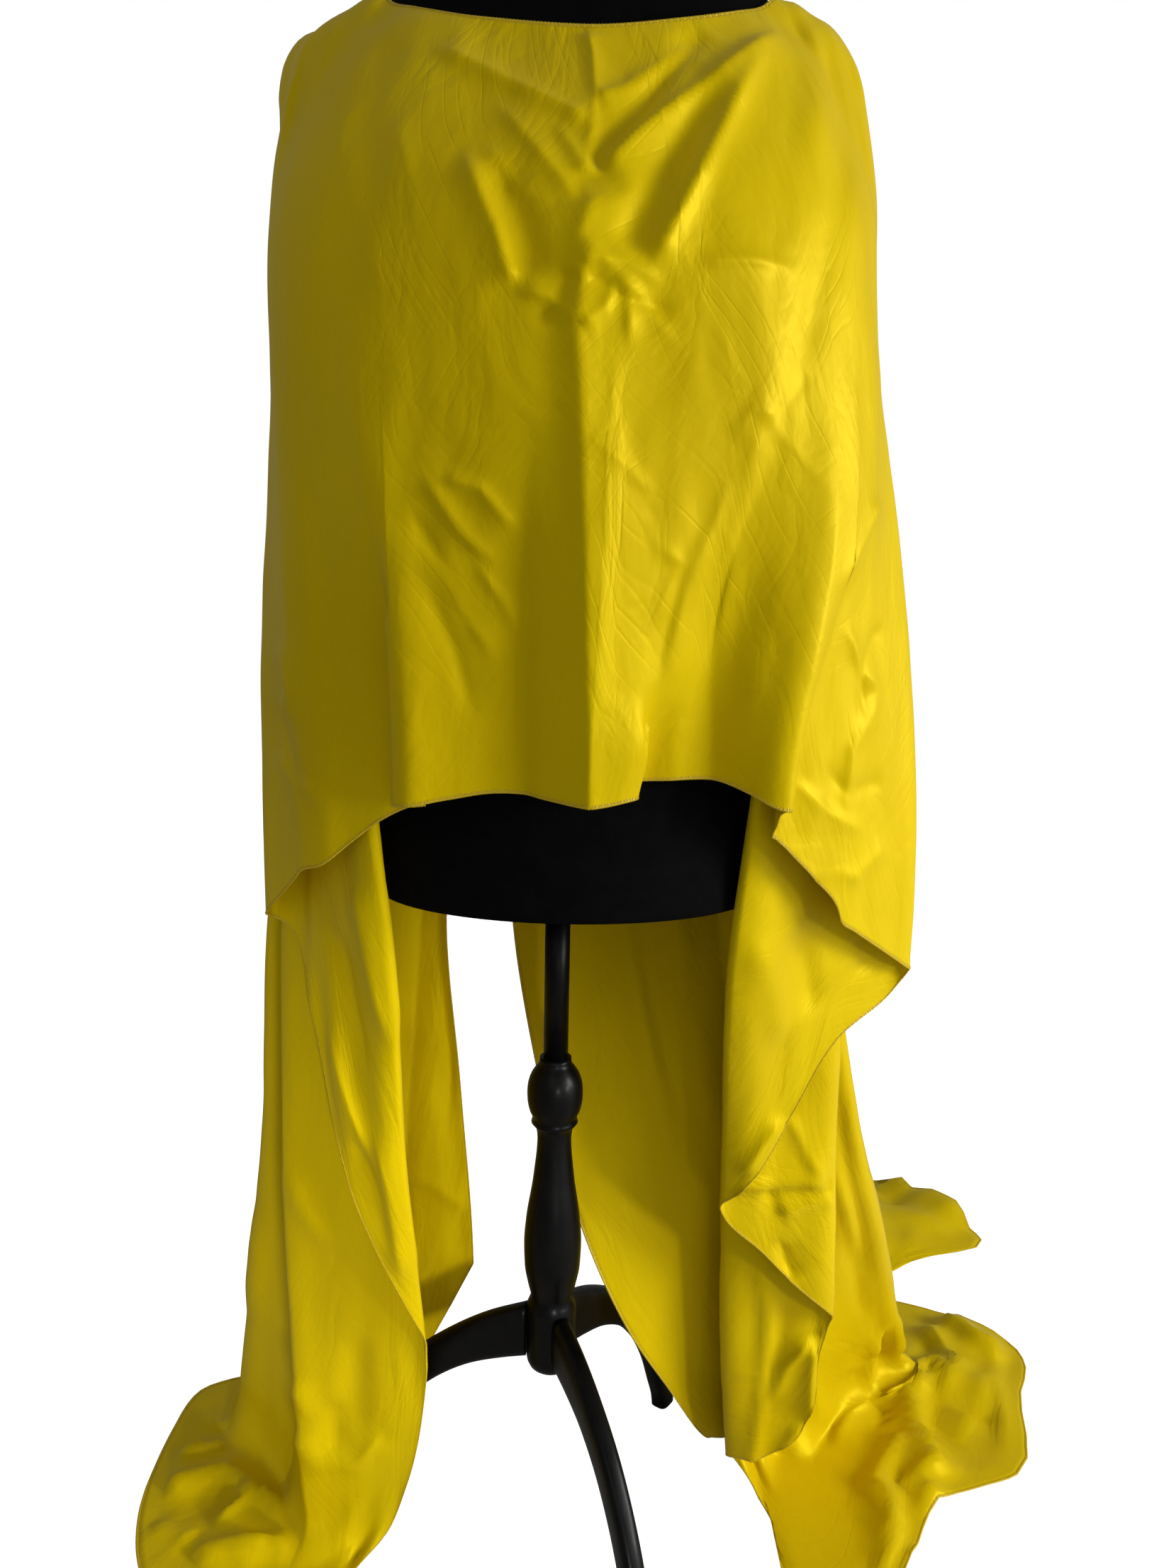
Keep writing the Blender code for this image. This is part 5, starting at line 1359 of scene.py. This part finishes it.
def braid_strand(side, phase):
    """One of the two strands of the braid on a shoulder slope."""
    spots = []
    for k in range(STRAND_STEPS + 1):
        z = lerp(BRAID_HIGH_Z, BRAID_LOW_Z, k / STRAND_STEPS)
        x = along(FORM_SECTIONS, "z", "centre_x", z) + side * along(FORM_SECTIONS, "z", "half_x", z)
        spots.append(Vector((x, 0, z)))
    rings = []
    for k, spot in enumerate(spots):
        ahead = (spots[min(k + 1, STRAND_STEPS)] - spots[max(k - 1, 0)]).normalized()
        out = ahead.cross(Vector((0, 1, 0))) * side
        across = Vector((0, 1, 0))
        turn = 2 * math.pi * STRAND_TURNS * k / STRAND_STEPS + phase
        offset = (out * math.cos(turn) + across * math.sin(turn)) * BRAID_RADIUS * STRAND_OFFSET
        centre = spot + out * (BRAID_RADIUS + BRAID_GAP) + offset
        angles = [2 * math.pi * i / STRAND_SIDES for i in range(STRAND_SIDES)]
        rings.append([centre + (out * math.cos(angle) + across * math.sin(angle)) * BRAID_RADIUS * STRAND_SIZE
                      for angle in angles])
    return ringed(rings)


def fine_turning():
    """The column's profile with smooth curves between its cuts."""
    rows = []
    for low, high in zip(COLUMN, COLUMN[1:]):
        count = max(2, int((high.z - low.z) / TURNING_PITCH))
        for k in range(count):
            z = lerp(low.z, high.z, k / count)
            rows.append(Turning(z, along(COLUMN, "z", "radius", z)))
    rows.append(COLUMN[-1])
    return rows


def joined(bodies):
    """Several bodies as one mesh."""
    verts, faces = [], []
    for made, quads in bodies:
        base = len(verts)
        verts += [Vector(v) for v in made]
        faces += [tuple(base + k for k in face) for face in quads]
    return verts, faces


def placed(body):
    """A body about the pole, in the row's frame."""
    verts, faces = body
    return [Vector(v) + FOOTPRINT for v in verts], faces


def facing_out(verts, faces):
    """The faces of a closed body, turned so that they look outward."""
    volume = 0.0
    for face in faces:
        a = Vector(verts[face[0]])
        for j in range(1, len(face) - 1):
            volume += a.dot(Vector(verts[face[j]]).cross(Vector(verts[face[j + 1]])))
    return [tuple(reversed(face)) for face in faces] if volume < 0 else faces


def fine_leg(angle):
    """The leg's rings with more sides, on smooth curves from hub to foot."""
    verts, _ = stand_leg(angle, LEG_SIDES)
    rings = np.array([tuple(v) for v in verts]).reshape(-1, LEG_SIDES, 3)
    rings = resampled(rings, LEG_PITCH)
    rings[:, :, 2] = np.maximum(rings[:, :, 2], 0.0)
    return ringed([[Vector(p) for p in ring] for ring in rings])


def new_group(name, inputs, outputs):
    """A shader node group with its input and output sockets."""
    group = bpy.data.node_groups.new(name, "ShaderNodeTree")
    for socket, kind, value in inputs:
        made = group.interface.new_socket(socket, in_out="INPUT", socket_type=kind)
        if value is not None:
            made.default_value = value
    for socket, kind in outputs:
        group.interface.new_socket(socket, in_out="OUTPUT", socket_type=kind)
    start = group.nodes.new("NodeGroupInput")
    end = group.nodes.new("NodeGroupOutput")
    return group, start.outputs, end.inputs


def add(tree, kind, links=(), **values):
    """A node with its properties, its input values by name or place, and its incoming links."""
    node = tree.nodes.new(kind)
    for key, value in values.items():
        setattr(node, key, value)
    for socket, source in links:
        if hasattr(source, "is_linked"):
            tree.links.new(source, node.inputs[socket])
        else:
            node.inputs[socket].default_value = source
    return node


def noise_node(tree, vector, scale, detail, distortion=0.0):
    """A noise texture on a vector."""
    links = [("Vector", vector), ("Scale", scale), ("Detail", detail), ("Distortion", distortion)]
    return add(tree, "ShaderNodeTexNoise", links)


def stretched(tree, vector, scale):
    """The vector with its three parts scaled."""
    return add(tree, "ShaderNodeMapping", [("Vector", vector), ("Scale", scale)]).outputs[0]


def maths(tree, operation, a, b=0.0, c=0.0):
    """The output of one maths node."""
    return add(tree, "ShaderNodeMath", [(0, a), (1, b), (2, c)], operation=operation).outputs[0]


def mixed(tree, factor, a, b):
    """A colour between a and b."""
    node = add(tree, "ShaderNodeMix", [(0, factor), (6, (*a, 1.0)), (7, (*b, 1.0))], data_type="RGBA")
    return node.outputs[2]


def pressed_lines(group, place, turn, gap):
    """Thin pressed lines, long one way and about one gap apart the other way."""
    links = [("Vector", place), ("Rotation", (0.0, 0.0, turn)), ("Scale", (gap, PRESS_LENGTH * gap, 1.0))]
    turned = add(group, "ShaderNodeMapping", links, vector_type="TEXTURE")
    wave = noise_node(group, turned.outputs[0], 1.0, 1.0)
    side = maths(group, "ABSOLUTE", maths(group, "SUBTRACT", wave.outputs["Fac"], 0.5))
    return maths(group, "MULTIPLY", maths(group, "MINIMUM", side, PRESS_WIDTH), PRESS_HEIGHT)


def cloth_group():
    """Satin by place on the cloth in metres: tone, thread height, and handling creases."""
    group, start, end = new_group(
        "Satin cloth",
        [("Place", "NodeSocketVector", None), ("Thread pitch", "NodeSocketFloat", 0.0007),
         ("Crumple", "NodeSocketFloat", 1.0)],
        [("Tone", "NodeSocketFloat"), ("Threads", "NodeSocketFloat"), ("Creases", "NodeSocketFloat"),
         ("Gloss", "NodeSocketFloat")])
    place = start["Place"]
    slow = noise_node(group, stretched(group, place, (7.0, 3.0, 1.0)), 1.0, 2.0)
    slub = noise_node(group, stretched(group, place, (900.0, 60.0, 1.0)), 1.0, 2.0)
    group.links.new(maths(group, "MULTIPLY_ADD", slub.outputs["Fac"], 0.25, slow.outputs["Fac"]), end["Tone"])
    pitch = maths(group, "DIVIDE", 1.0, start["Thread pitch"])
    split = add(group, "ShaderNodeSeparateXYZ", [(0, place)])
    across = maths(group, "MULTIPLY", split.outputs[0], pitch)
    down = maths(group, "MULTIPLY", split.outputs[1], pitch)
    warp = maths(group, "SINE", maths(group, "MULTIPLY", across, 2 * math.pi))
    weft = maths(group, "SINE", maths(group, "MULTIPLY", down, 2 * math.pi / 5))
    group.links.new(maths(group, "ADD", warp, maths(group, "MULTIPLY", weft, 0.3)), end["Threads"])
    wide = noise_node(group, stretched(group, place, (20.0, 9.0, 1.0)), 1.0, 3.0, 0.8)
    ridge = maths(group, "ABSOLUTE", maths(group, "SUBTRACT", wide.outputs["Fac"], 0.5))
    fine = noise_node(group, stretched(group, place, (75.0, 40.0, 1.0)), 1.0, 2.0, 0.4)
    both = maths(group, "ADD", ridge, maths(group, "MULTIPLY", fine.outputs["Fac"], 0.08))
    patch = add(group, "ShaderNodeMapRange", [("Value", noise_node(group, place, 5.0, 1.0).outputs["Fac"]),
                                              ("From Min", 0.42), ("From Max", 0.62)]).outputs[0]
    for turn, gap, share in ((0.5, 0.020, patch), (-0.6, 0.015, maths(group, "SUBTRACT", 1.0, patch))):
        press = pressed_lines(group, place, turn, gap)
        both = maths(group, "MULTIPLY_ADD", press, share, both)
    group.links.new(maths(group, "MULTIPLY", both, start["Crumple"]), end["Creases"])
    group.links.new(maths(group, "MULTIPLY_ADD", slow.outputs["Fac"], 0.12, 0.40), end["Gloss"])
    return group


def knit_group():
    """Fine jersey by place on the object in metres."""
    group, start, end = new_group(
        "Jersey", [("Place", "NodeSocketVector", None), ("Pitch", "NodeSocketFloat", 0.0012)],
        [("Height", "NodeSocketFloat"), ("Tone", "NodeSocketFloat")])
    pitch = maths(group, "DIVIDE", 1.0, start["Pitch"])
    scaled = add(group, "ShaderNodeVectorMath", [(0, start["Place"])], operation="SCALE")
    group.links.new(pitch, scaled.inputs["Scale"])
    cells = add(group, "ShaderNodeTexVoronoi", [("Vector", scaled.outputs[0]), ("Scale", 1.0)])
    dust = noise_node(group, start["Place"], 60.0, 4.0)
    group.links.new(cells.outputs["Distance"], end["Height"])
    group.links.new(dust.outputs["Fac"], end["Tone"])
    return group


def lacquer_group():
    """Black lacquer over wood: faint grain and worn gloss."""
    group, start, end = new_group(
        "Lacquer", [("Place", "NodeSocketVector", None)],
        [("Grain", "NodeSocketFloat"), ("Wear", "NodeSocketFloat")])
    grain = noise_node(group, stretched(group, start["Place"], (160.0, 160.0, 12.0)), 1.0, 5.0, 0.5)
    wear = noise_node(group, start["Place"], 35.0, 4.0)
    group.links.new(grain.outputs["Fac"], end["Grain"])
    group.links.new(wear.outputs["Fac"], end["Wear"])
    return group


def new_material(name):
    """A material with its node tree and its shader."""
    made = bpy.data.materials.new(name)
    made.use_nodes = True
    tree = made.node_tree
    shader = tree.nodes["Principled BSDF"]
    return made, tree, shader


def call(tree, group, links):
    """One use of a node group."""
    return add(tree, "ShaderNodeGroup", links, node_tree=group)


def ramp(tree, factor, *stops):
    """A colour ramp between two stops of a place and a colour."""
    node = add(tree, "ShaderNodeValToRGB", [("Fac", factor)])
    for element, (position, colour) in zip(node.color_ramp.elements, stops):
        element.position, element.color = position, (*colour, 1.0)
    return node.outputs["Color"]


def set_inputs(shader, values):
    """Give a shader its plain values by input name."""
    for name, value in values.items():
        shader.inputs[name].default_value = value


def bump(tree, shader, *links):
    """Drive the shader's normal by a height."""
    node = add(tree, "ShaderNodeBump", links)
    tree.links.new(node.outputs[0], shader.inputs["Normal"])


def satin_material(settings, group):
    """The cape's satin: warm cloth with a sheen, its threads and its small handling creases."""
    made, tree, shader = new_material("satin")
    place = add(tree, "ShaderNodeUVMap", uv_map="Cloth").outputs[0]
    cloth = call(tree, group, [("Place", place), ("Crumple", settings.crumple)])
    colour = mixed(tree, cloth.outputs["Tone"], settings.deep, settings.bright)
    tree.links.new(colour, shader.inputs["Base Color"])
    tree.links.new(cloth.outputs["Gloss"], shader.inputs["Roughness"])
    threads = add(tree, "ShaderNodeBump", [("Height", cloth.outputs["Threads"]), ("Strength", 0.15),
                                           ("Distance", 0.00006)])
    bump(tree, shader, ("Height", cloth.outputs["Creases"]), ("Strength", 0.8), ("Distance", 0.006),
         ("Normal", threads.outputs[0]))
    set_inputs(shader, {
        "Specular IOR Level": settings.shine, "Specular Tint": (1.0, 0.84, 0.03, 1.0), "Metallic": 0.08,
        "Anisotropic": 0.5, "Sheen Weight": 0.12, "Sheen Roughness": 0.4,
        "Sheen Tint": (*settings.edge, 1.0)})
    tangent = add(tree, "ShaderNodeTangent", direction_type="UV_MAP", uv_map="Cloth")
    tree.links.new(tangent.outputs[0], shader.inputs["Tangent"])
    return made


def thread_material(settings):
    """The hem's sewing thread, in the cloth's colours."""
    made, tree, shader = new_material("thread")
    place = add(tree, "ShaderNodeTexCoord").outputs["Object"]
    twist = noise_node(tree, place, 900.0, 2.0)
    colour = ramp(tree, twist.outputs["Fac"], (0.3, settings.deep), (0.7, settings.bright))
    tree.links.new(colour, shader.inputs["Base Color"])
    bump(tree, shader, ("Height", twist.outputs["Fac"]), ("Distance", 0.0002))
    set_inputs(shader, {"Roughness": 0.5})
    return made


def jersey_material(name, group, colours, roughness):
    """Black knitted cloth."""
    dark, pale = colours
    made, tree, shader = new_material(name)
    place = add(tree, "ShaderNodeTexCoord").outputs["Object"]
    knit = call(tree, group, [("Place", place)])
    tree.links.new(ramp(tree, knit.outputs["Tone"], (0.3, dark), (0.75, pale)), shader.inputs["Base Color"])
    bump(tree, shader, ("Height", knit.outputs["Height"]), ("Strength", 0.5), ("Distance", 0.0003))
    set_inputs(shader, {"Roughness": roughness, "Specular IOR Level": 0.07})
    return made


def lacquer_material(name, group, metal=False):
    """Black lacquer, with less grain and coat on metal."""
    made, tree, shader = new_material(name)
    place = add(tree, "ShaderNodeTexCoord").outputs["Object"]
    paint = call(tree, group, [("Place", place)])
    wear = paint.outputs["Wear"]
    tree.links.new(ramp(tree, wear, (0.35, LACQUER[0]), (0.8, LACQUER[1])), shader.inputs["Base Color"])
    rough = add(tree, "ShaderNodeMapRange", [("Value", wear), ("To Min", 0.28), ("To Max", 0.5)])
    tree.links.new(rough.outputs[0], shader.inputs["Roughness"])
    bump(tree, shader, ("Height", paint.outputs["Grain"]), ("Strength", 0.15 if metal else 0.4),
         ("Distance", 0.0004))
    set_inputs(shader, {"Specular IOR Level": 0.12, "Coat Weight": 0.02 if metal else 0.06,
                        "Coat Roughness": 0.2})
    return made


def dress(thing, made):
    """Give a piece its material."""
    thing.data.materials.append(made)


def cover(name, body, node, made, turn_out=True):
    """A finished piece in the place of one CAD node."""
    verts, faces = placed(body)
    thing = mesh_object(name, verts, facing_out(verts, faces) if turn_out else faces)
    dress(thing, made)
    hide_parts(node)


def aimed(name, lamp, spot, aim):
    """Put a lamp at a place about the pole, turned to another."""
    thing = bpy.data.objects.new(name, lamp)
    thing.location = spot + FOOTPRINT
    thing.rotation_euler = (aim - spot).to_track_quat("-Z", "Y").to_euler()
    bpy.context.scene.collection.objects.link(thing)


def stage_floor(settings):
    """A white floor that catches shadows and fades into the backdrop."""
    mesh = bpy.data.meshes.new("floor")
    corners = [(x * FLOOR_REACH, y * FLOOR_REACH, 0) for x, y in ((-1, -1), (1, -1), (1, 1), (-1, 1))]
    mesh.from_pydata(corners, [], [(0, 1, 2, 3)])
    floor = bpy.data.objects.new("floor", mesh)
    bpy.context.scene.collection.objects.link(floor)
    made, tree, shader = new_material("floor")
    place = add(tree, "ShaderNodeTexCoord").outputs["Object"]
    speck = noise_node(tree, place, 3.0, 2.0)
    colour = ramp(tree, speck.outputs["Fac"], (0.3, (0.50, 0.50, 0.50)), (0.7, (0.52, 0.52, 0.52)))
    tree.links.new(colour, shader.inputs["Base Color"])
    seen = add(tree, "ShaderNodeLightPath").outputs["Is Camera Ray"]
    glow = add(tree, "ShaderNodeMapRange", [("Value", seen), ("To Max", settings.floor_glow)])
    tree.links.new(glow.outputs[0], shader.inputs["Emission Strength"])
    set_inputs(shader, {"Roughness": 0.9, "Specular IOR Level": 0.1, "Emission Color": WHITE})
    mesh.materials.append(made)


def stage_room(settings):
    """White surroundings: a full white to the camera, and a weaker light on the cape."""
    world = bpy.data.worlds.new("room")
    bpy.context.scene.world = world
    world.use_nodes = True
    tree = world.node_tree
    back = tree.nodes["Background"]
    seen = add(tree, "ShaderNodeLightPath").outputs["Is Camera Ray"]
    mix = add(tree, "ShaderNodeMapRange", [("Value", seen), ("To Min", settings.room_light), ("To Max", 1.0)])
    tree.links.new(mix.outputs[0], back.inputs["Strength"])
    back.inputs["Color"].default_value = WHITE


def stage_lights(settings):
    """A window from the right, a soft fill, and two low lights on the trains."""
    for name, power, spot, size in (("key", settings.key_power, KEY_SPOT, KEY_SIZE),
                                    ("fill", settings.fill_power, FILL_SPOT, FILL_SIZE)):
        lamp = bpy.data.lights.new(name, "AREA")
        lamp.energy = power
        lamp.size = size
        aimed(name, lamp, spot, WINDOW_AIM)
    for light in FLOOR_LIGHTS:
        lamp = bpy.data.lights.new(light.name, "SPOT")
        lamp.energy = settings.low_power * light.share
        lamp.spot_size = math.radians(light.cone)
        lamp.spot_blend = LIGHT_BLEND
        lamp.shadow_soft_size = LIGHT_SOFTNESS
        aimed(light.name, lamp, light.spot, light.aim)


class CapeSettings(PropertyGroup):
    deep: FloatVectorProperty(
        name="Deep colour", description="Colour of the cloth in its deep tones", subtype="COLOR",
        default=(0.54, 0.365, 0.001), min=0.0, max=1.0)
    bright: FloatVectorProperty(
        name="Bright colour", description="Colour of the cloth in its bright tones", subtype="COLOR",
        default=(0.72, 0.53, 0.001), min=0.0, max=1.0)
    edge: FloatVectorProperty(
        name="Edge colour", description="Colour of the cloth seen edge on", subtype="COLOR",
        default=(0.55, 0.56, 0.005), min=0.0, max=1.0)
    shine: FloatProperty(
        name="Shine", description="Strength of the satin's reflection", default=0.4, min=0.0, max=1.0)
    crumple: FloatProperty(
        name="Crumple", description="Strength of the small handling creases", default=0.5, min=0.0, max=2.0)
    ripple: FloatProperty(
        name="Ripple", description="Strength of the cloth's soft waves", default=1.0, min=0.0, max=2.0)


class StandSettings(PropertyGroup):
    ring_pitch: FloatProperty(
        name="Ring pitch", description="Height of one ring of the dress form", default=0.008,
        min=0.002, max=0.05, unit="LENGTH")


class StageSettings(PropertyGroup):
    key_power: FloatProperty(
        name="Key light", description="Power of the window light from the right", default=76.0,
        min=0.0, unit="POWER")
    fill_power: FloatProperty(
        name="Fill light", description="Power of the soft light from the front", default=6.0,
        min=0.0, unit="POWER")
    low_power: FloatProperty(
        name="Low light", description="Power of the lights on the trains", default=88.0, min=0.0,
        unit="POWER")
    room_light: FloatProperty(
        name="Room light", description="Strength of the white surroundings", default=0.27, min=0.0)
    floor_glow: FloatProperty(
        name="Floor glow", description="Lift of the floor's white towards the backdrop's", default=1.0,
        min=0.0)


PANELS = {
    "front": ("cape_front", "satin_front", FRONT_PITCH, FRONT_CREASES, ("neck", "hem")),
    "left": ("cape_back_left", "satin_back_left", BACK_PITCH, LEFT_CREASES, ("neck", "hem", "slit")),
    "right": ("cape_back_right", "satin_back_right", BACK_PITCH, RIGHT_CREASES, ("neck", "hem", "slit")),
}


def control_grids():
    """The panels' control grids, as the solids have them."""
    left = back_grid("left", LEFT_FOLDS, LEFT_BACK_EDGE, LEFT_HEM, LEFT_TRAIN)
    right = back_grid("right", RIGHT_FOLDS, RIGHT_BACK_EDGE, RIGHT_HEM, RIGHT_TRAIN)
    left, right = join_centre_back(left, right)
    return {
        "front": shifted(short_pleat(front_grid()), -SEAM_GAP / 2),
        "left": shifted(left, SEAM_GAP / 2),
        "right": shifted(right, SEAM_GAP / 2),
    }


class CAPE_OT_cloth(Operator):
    """Build the cape's panels, hems and stitches"""
    bl_idname = "cape.cloth"
    bl_label = "Build Cape"

    def execute(self, context):
        settings = context.scene.cape_settings
        satin = satin_material(settings, cloth_group())
        thread = thread_material(settings)
        verts, faces = ringed(form_rings(FORM_SECTIONS, FORM_SEARCH_SIDES, FORM_SEARCH_STEP))
        torso = BVHTree.FromPolygons(verts, facing_out(verts, faces))
        for side, rows in control_grids().items():
            node, slot, pitch, creases, edges = PANELS[side]
            grid = fine_cloth(rows, pitch, creases, torso, settings.ripple)
            cloth = cloth_object(node + "_cloth", grid)
            dress(cloth, satin)
            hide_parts(node)
            hem = mesh_object(node + "_hem", *hem_body(grid, edges))
            stitches = mesh_object(node + "_stitches", *stitch_body(grid, edges))
            dress(hem, thread)
            dress(stitches, thread)
        return {"FINISHED"}


class CAPE_OT_form(Operator):
    """Build the dress form's cover and its braids"""
    bl_idname = "cape.form"
    bl_label = "Build Dress Form"

    def execute(self, context):
        settings = context.scene.stand_settings
        knit = knit_group()
        jersey = jersey_material("jersey", knit, JERSEY, 0.9)
        braid = jersey_material("braid", knit, BRAID, 0.7)
        rings = form_rings(FORM_SECTIONS, FORM_COVER_SIDES, settings.ring_pitch)
        cover("form_cover", ringed(rings), "form_torso", jersey)
        for side, name in ((-1, "left"), (1, "right")):
            strands = joined([braid_strand(side, 0.0), braid_strand(side, math.pi)])
            cover("braid_%s_strands" % name, strands, "form_braid_" + name, braid, False)
        return {"FINISHED"}


class CAPE_OT_stand(Operator):
    """Build the turned column, the pole and the legs"""
    bl_idname = "cape.stand"
    bl_label = "Build Stand"

    def execute(self, context):
        group = lacquer_group()
        wood = lacquer_material("lacquer", group)
        paint = lacquer_material("pole_paint", group, metal=True)
        column = turned_body(fine_turning(), COVER_SIDES)
        cover("turned_column", column, "stand_column", wood)
        ends = (POLE_FOOT_Z, FORM_SECTIONS[0].z)
        pole = turned_body([Turning(z, POLE_RADIUS) for z in ends], COVER_SIDES)
        cover("pole_tube", pole, "stand_pole", paint)
        for name, angle in LEG_ANGLES:
            cover("turned_leg_" + name, fine_leg(angle), "stand_leg_" + name, wood)
        return {"FINISHED"}


class CAPE_OT_stage(Operator):
    """Build the floor, the lights and the camera"""
    bl_idname = "cape.stage"
    bl_label = "Build Stage"

    def execute(self, context):
        settings = context.scene.stage_settings
        scene = context.scene
        scene.view_settings.view_transform = "Standard"
        stage_floor(settings)
        stage_room(settings)
        stage_lights(settings)
        camera = bpy.data.objects.new("camera", bpy.data.cameras.new("camera"))
        camera.data.lens = CAMERA_LENS
        camera.matrix_world = Matrix.Translation(CAMERA_SPOT + FOOTPRINT) @ camera_turn()
        scene.collection.objects.link(camera)
        scene.camera = camera
        return {"FINISHED"}


class CAPE_PT_panel(Panel):
    bl_idname = "CAPE_PT_panel"
    bl_label = "Satin Cape"
    bl_space_type = "VIEW_3D"
    bl_region_type = "UI"
    bl_category = "Cape"

    def draw(self, context):
        layout = self.layout
        for holder in (context.scene.cape_settings, context.scene.stand_settings,
                       context.scene.stage_settings):
            box = layout.box()
            for name in holder.__annotations__:
                box.prop(holder, name)
        for kind in (CAPE_OT_cloth, CAPE_OT_form, CAPE_OT_stand, CAPE_OT_stage):
            layout.operator(kind.bl_idname)


CLASSES = (CapeSettings, StandSettings, StageSettings, CAPE_OT_cloth, CAPE_OT_form, CAPE_OT_stand,
           CAPE_OT_stage, CAPE_PT_panel)


def register():
    for kind in CLASSES:
        bpy.utils.register_class(kind)
    bpy.types.Scene.cape_settings = PointerProperty(type=CapeSettings)
    bpy.types.Scene.stand_settings = PointerProperty(type=StandSettings)
    bpy.types.Scene.stage_settings = PointerProperty(type=StageSettings)


def unregister():
    del bpy.types.Scene.cape_settings
    del bpy.types.Scene.stand_settings
    del bpy.types.Scene.stage_settings
    for kind in reversed(CLASSES):
        bpy.utils.unregister_class(kind)


def main():
    register()
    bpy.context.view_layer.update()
    bpy.ops.cape.cloth()
    bpy.ops.cape.form()
    bpy.ops.cape.stand()
    bpy.ops.cape.stage()


if __name__ == "__main__":
    main()
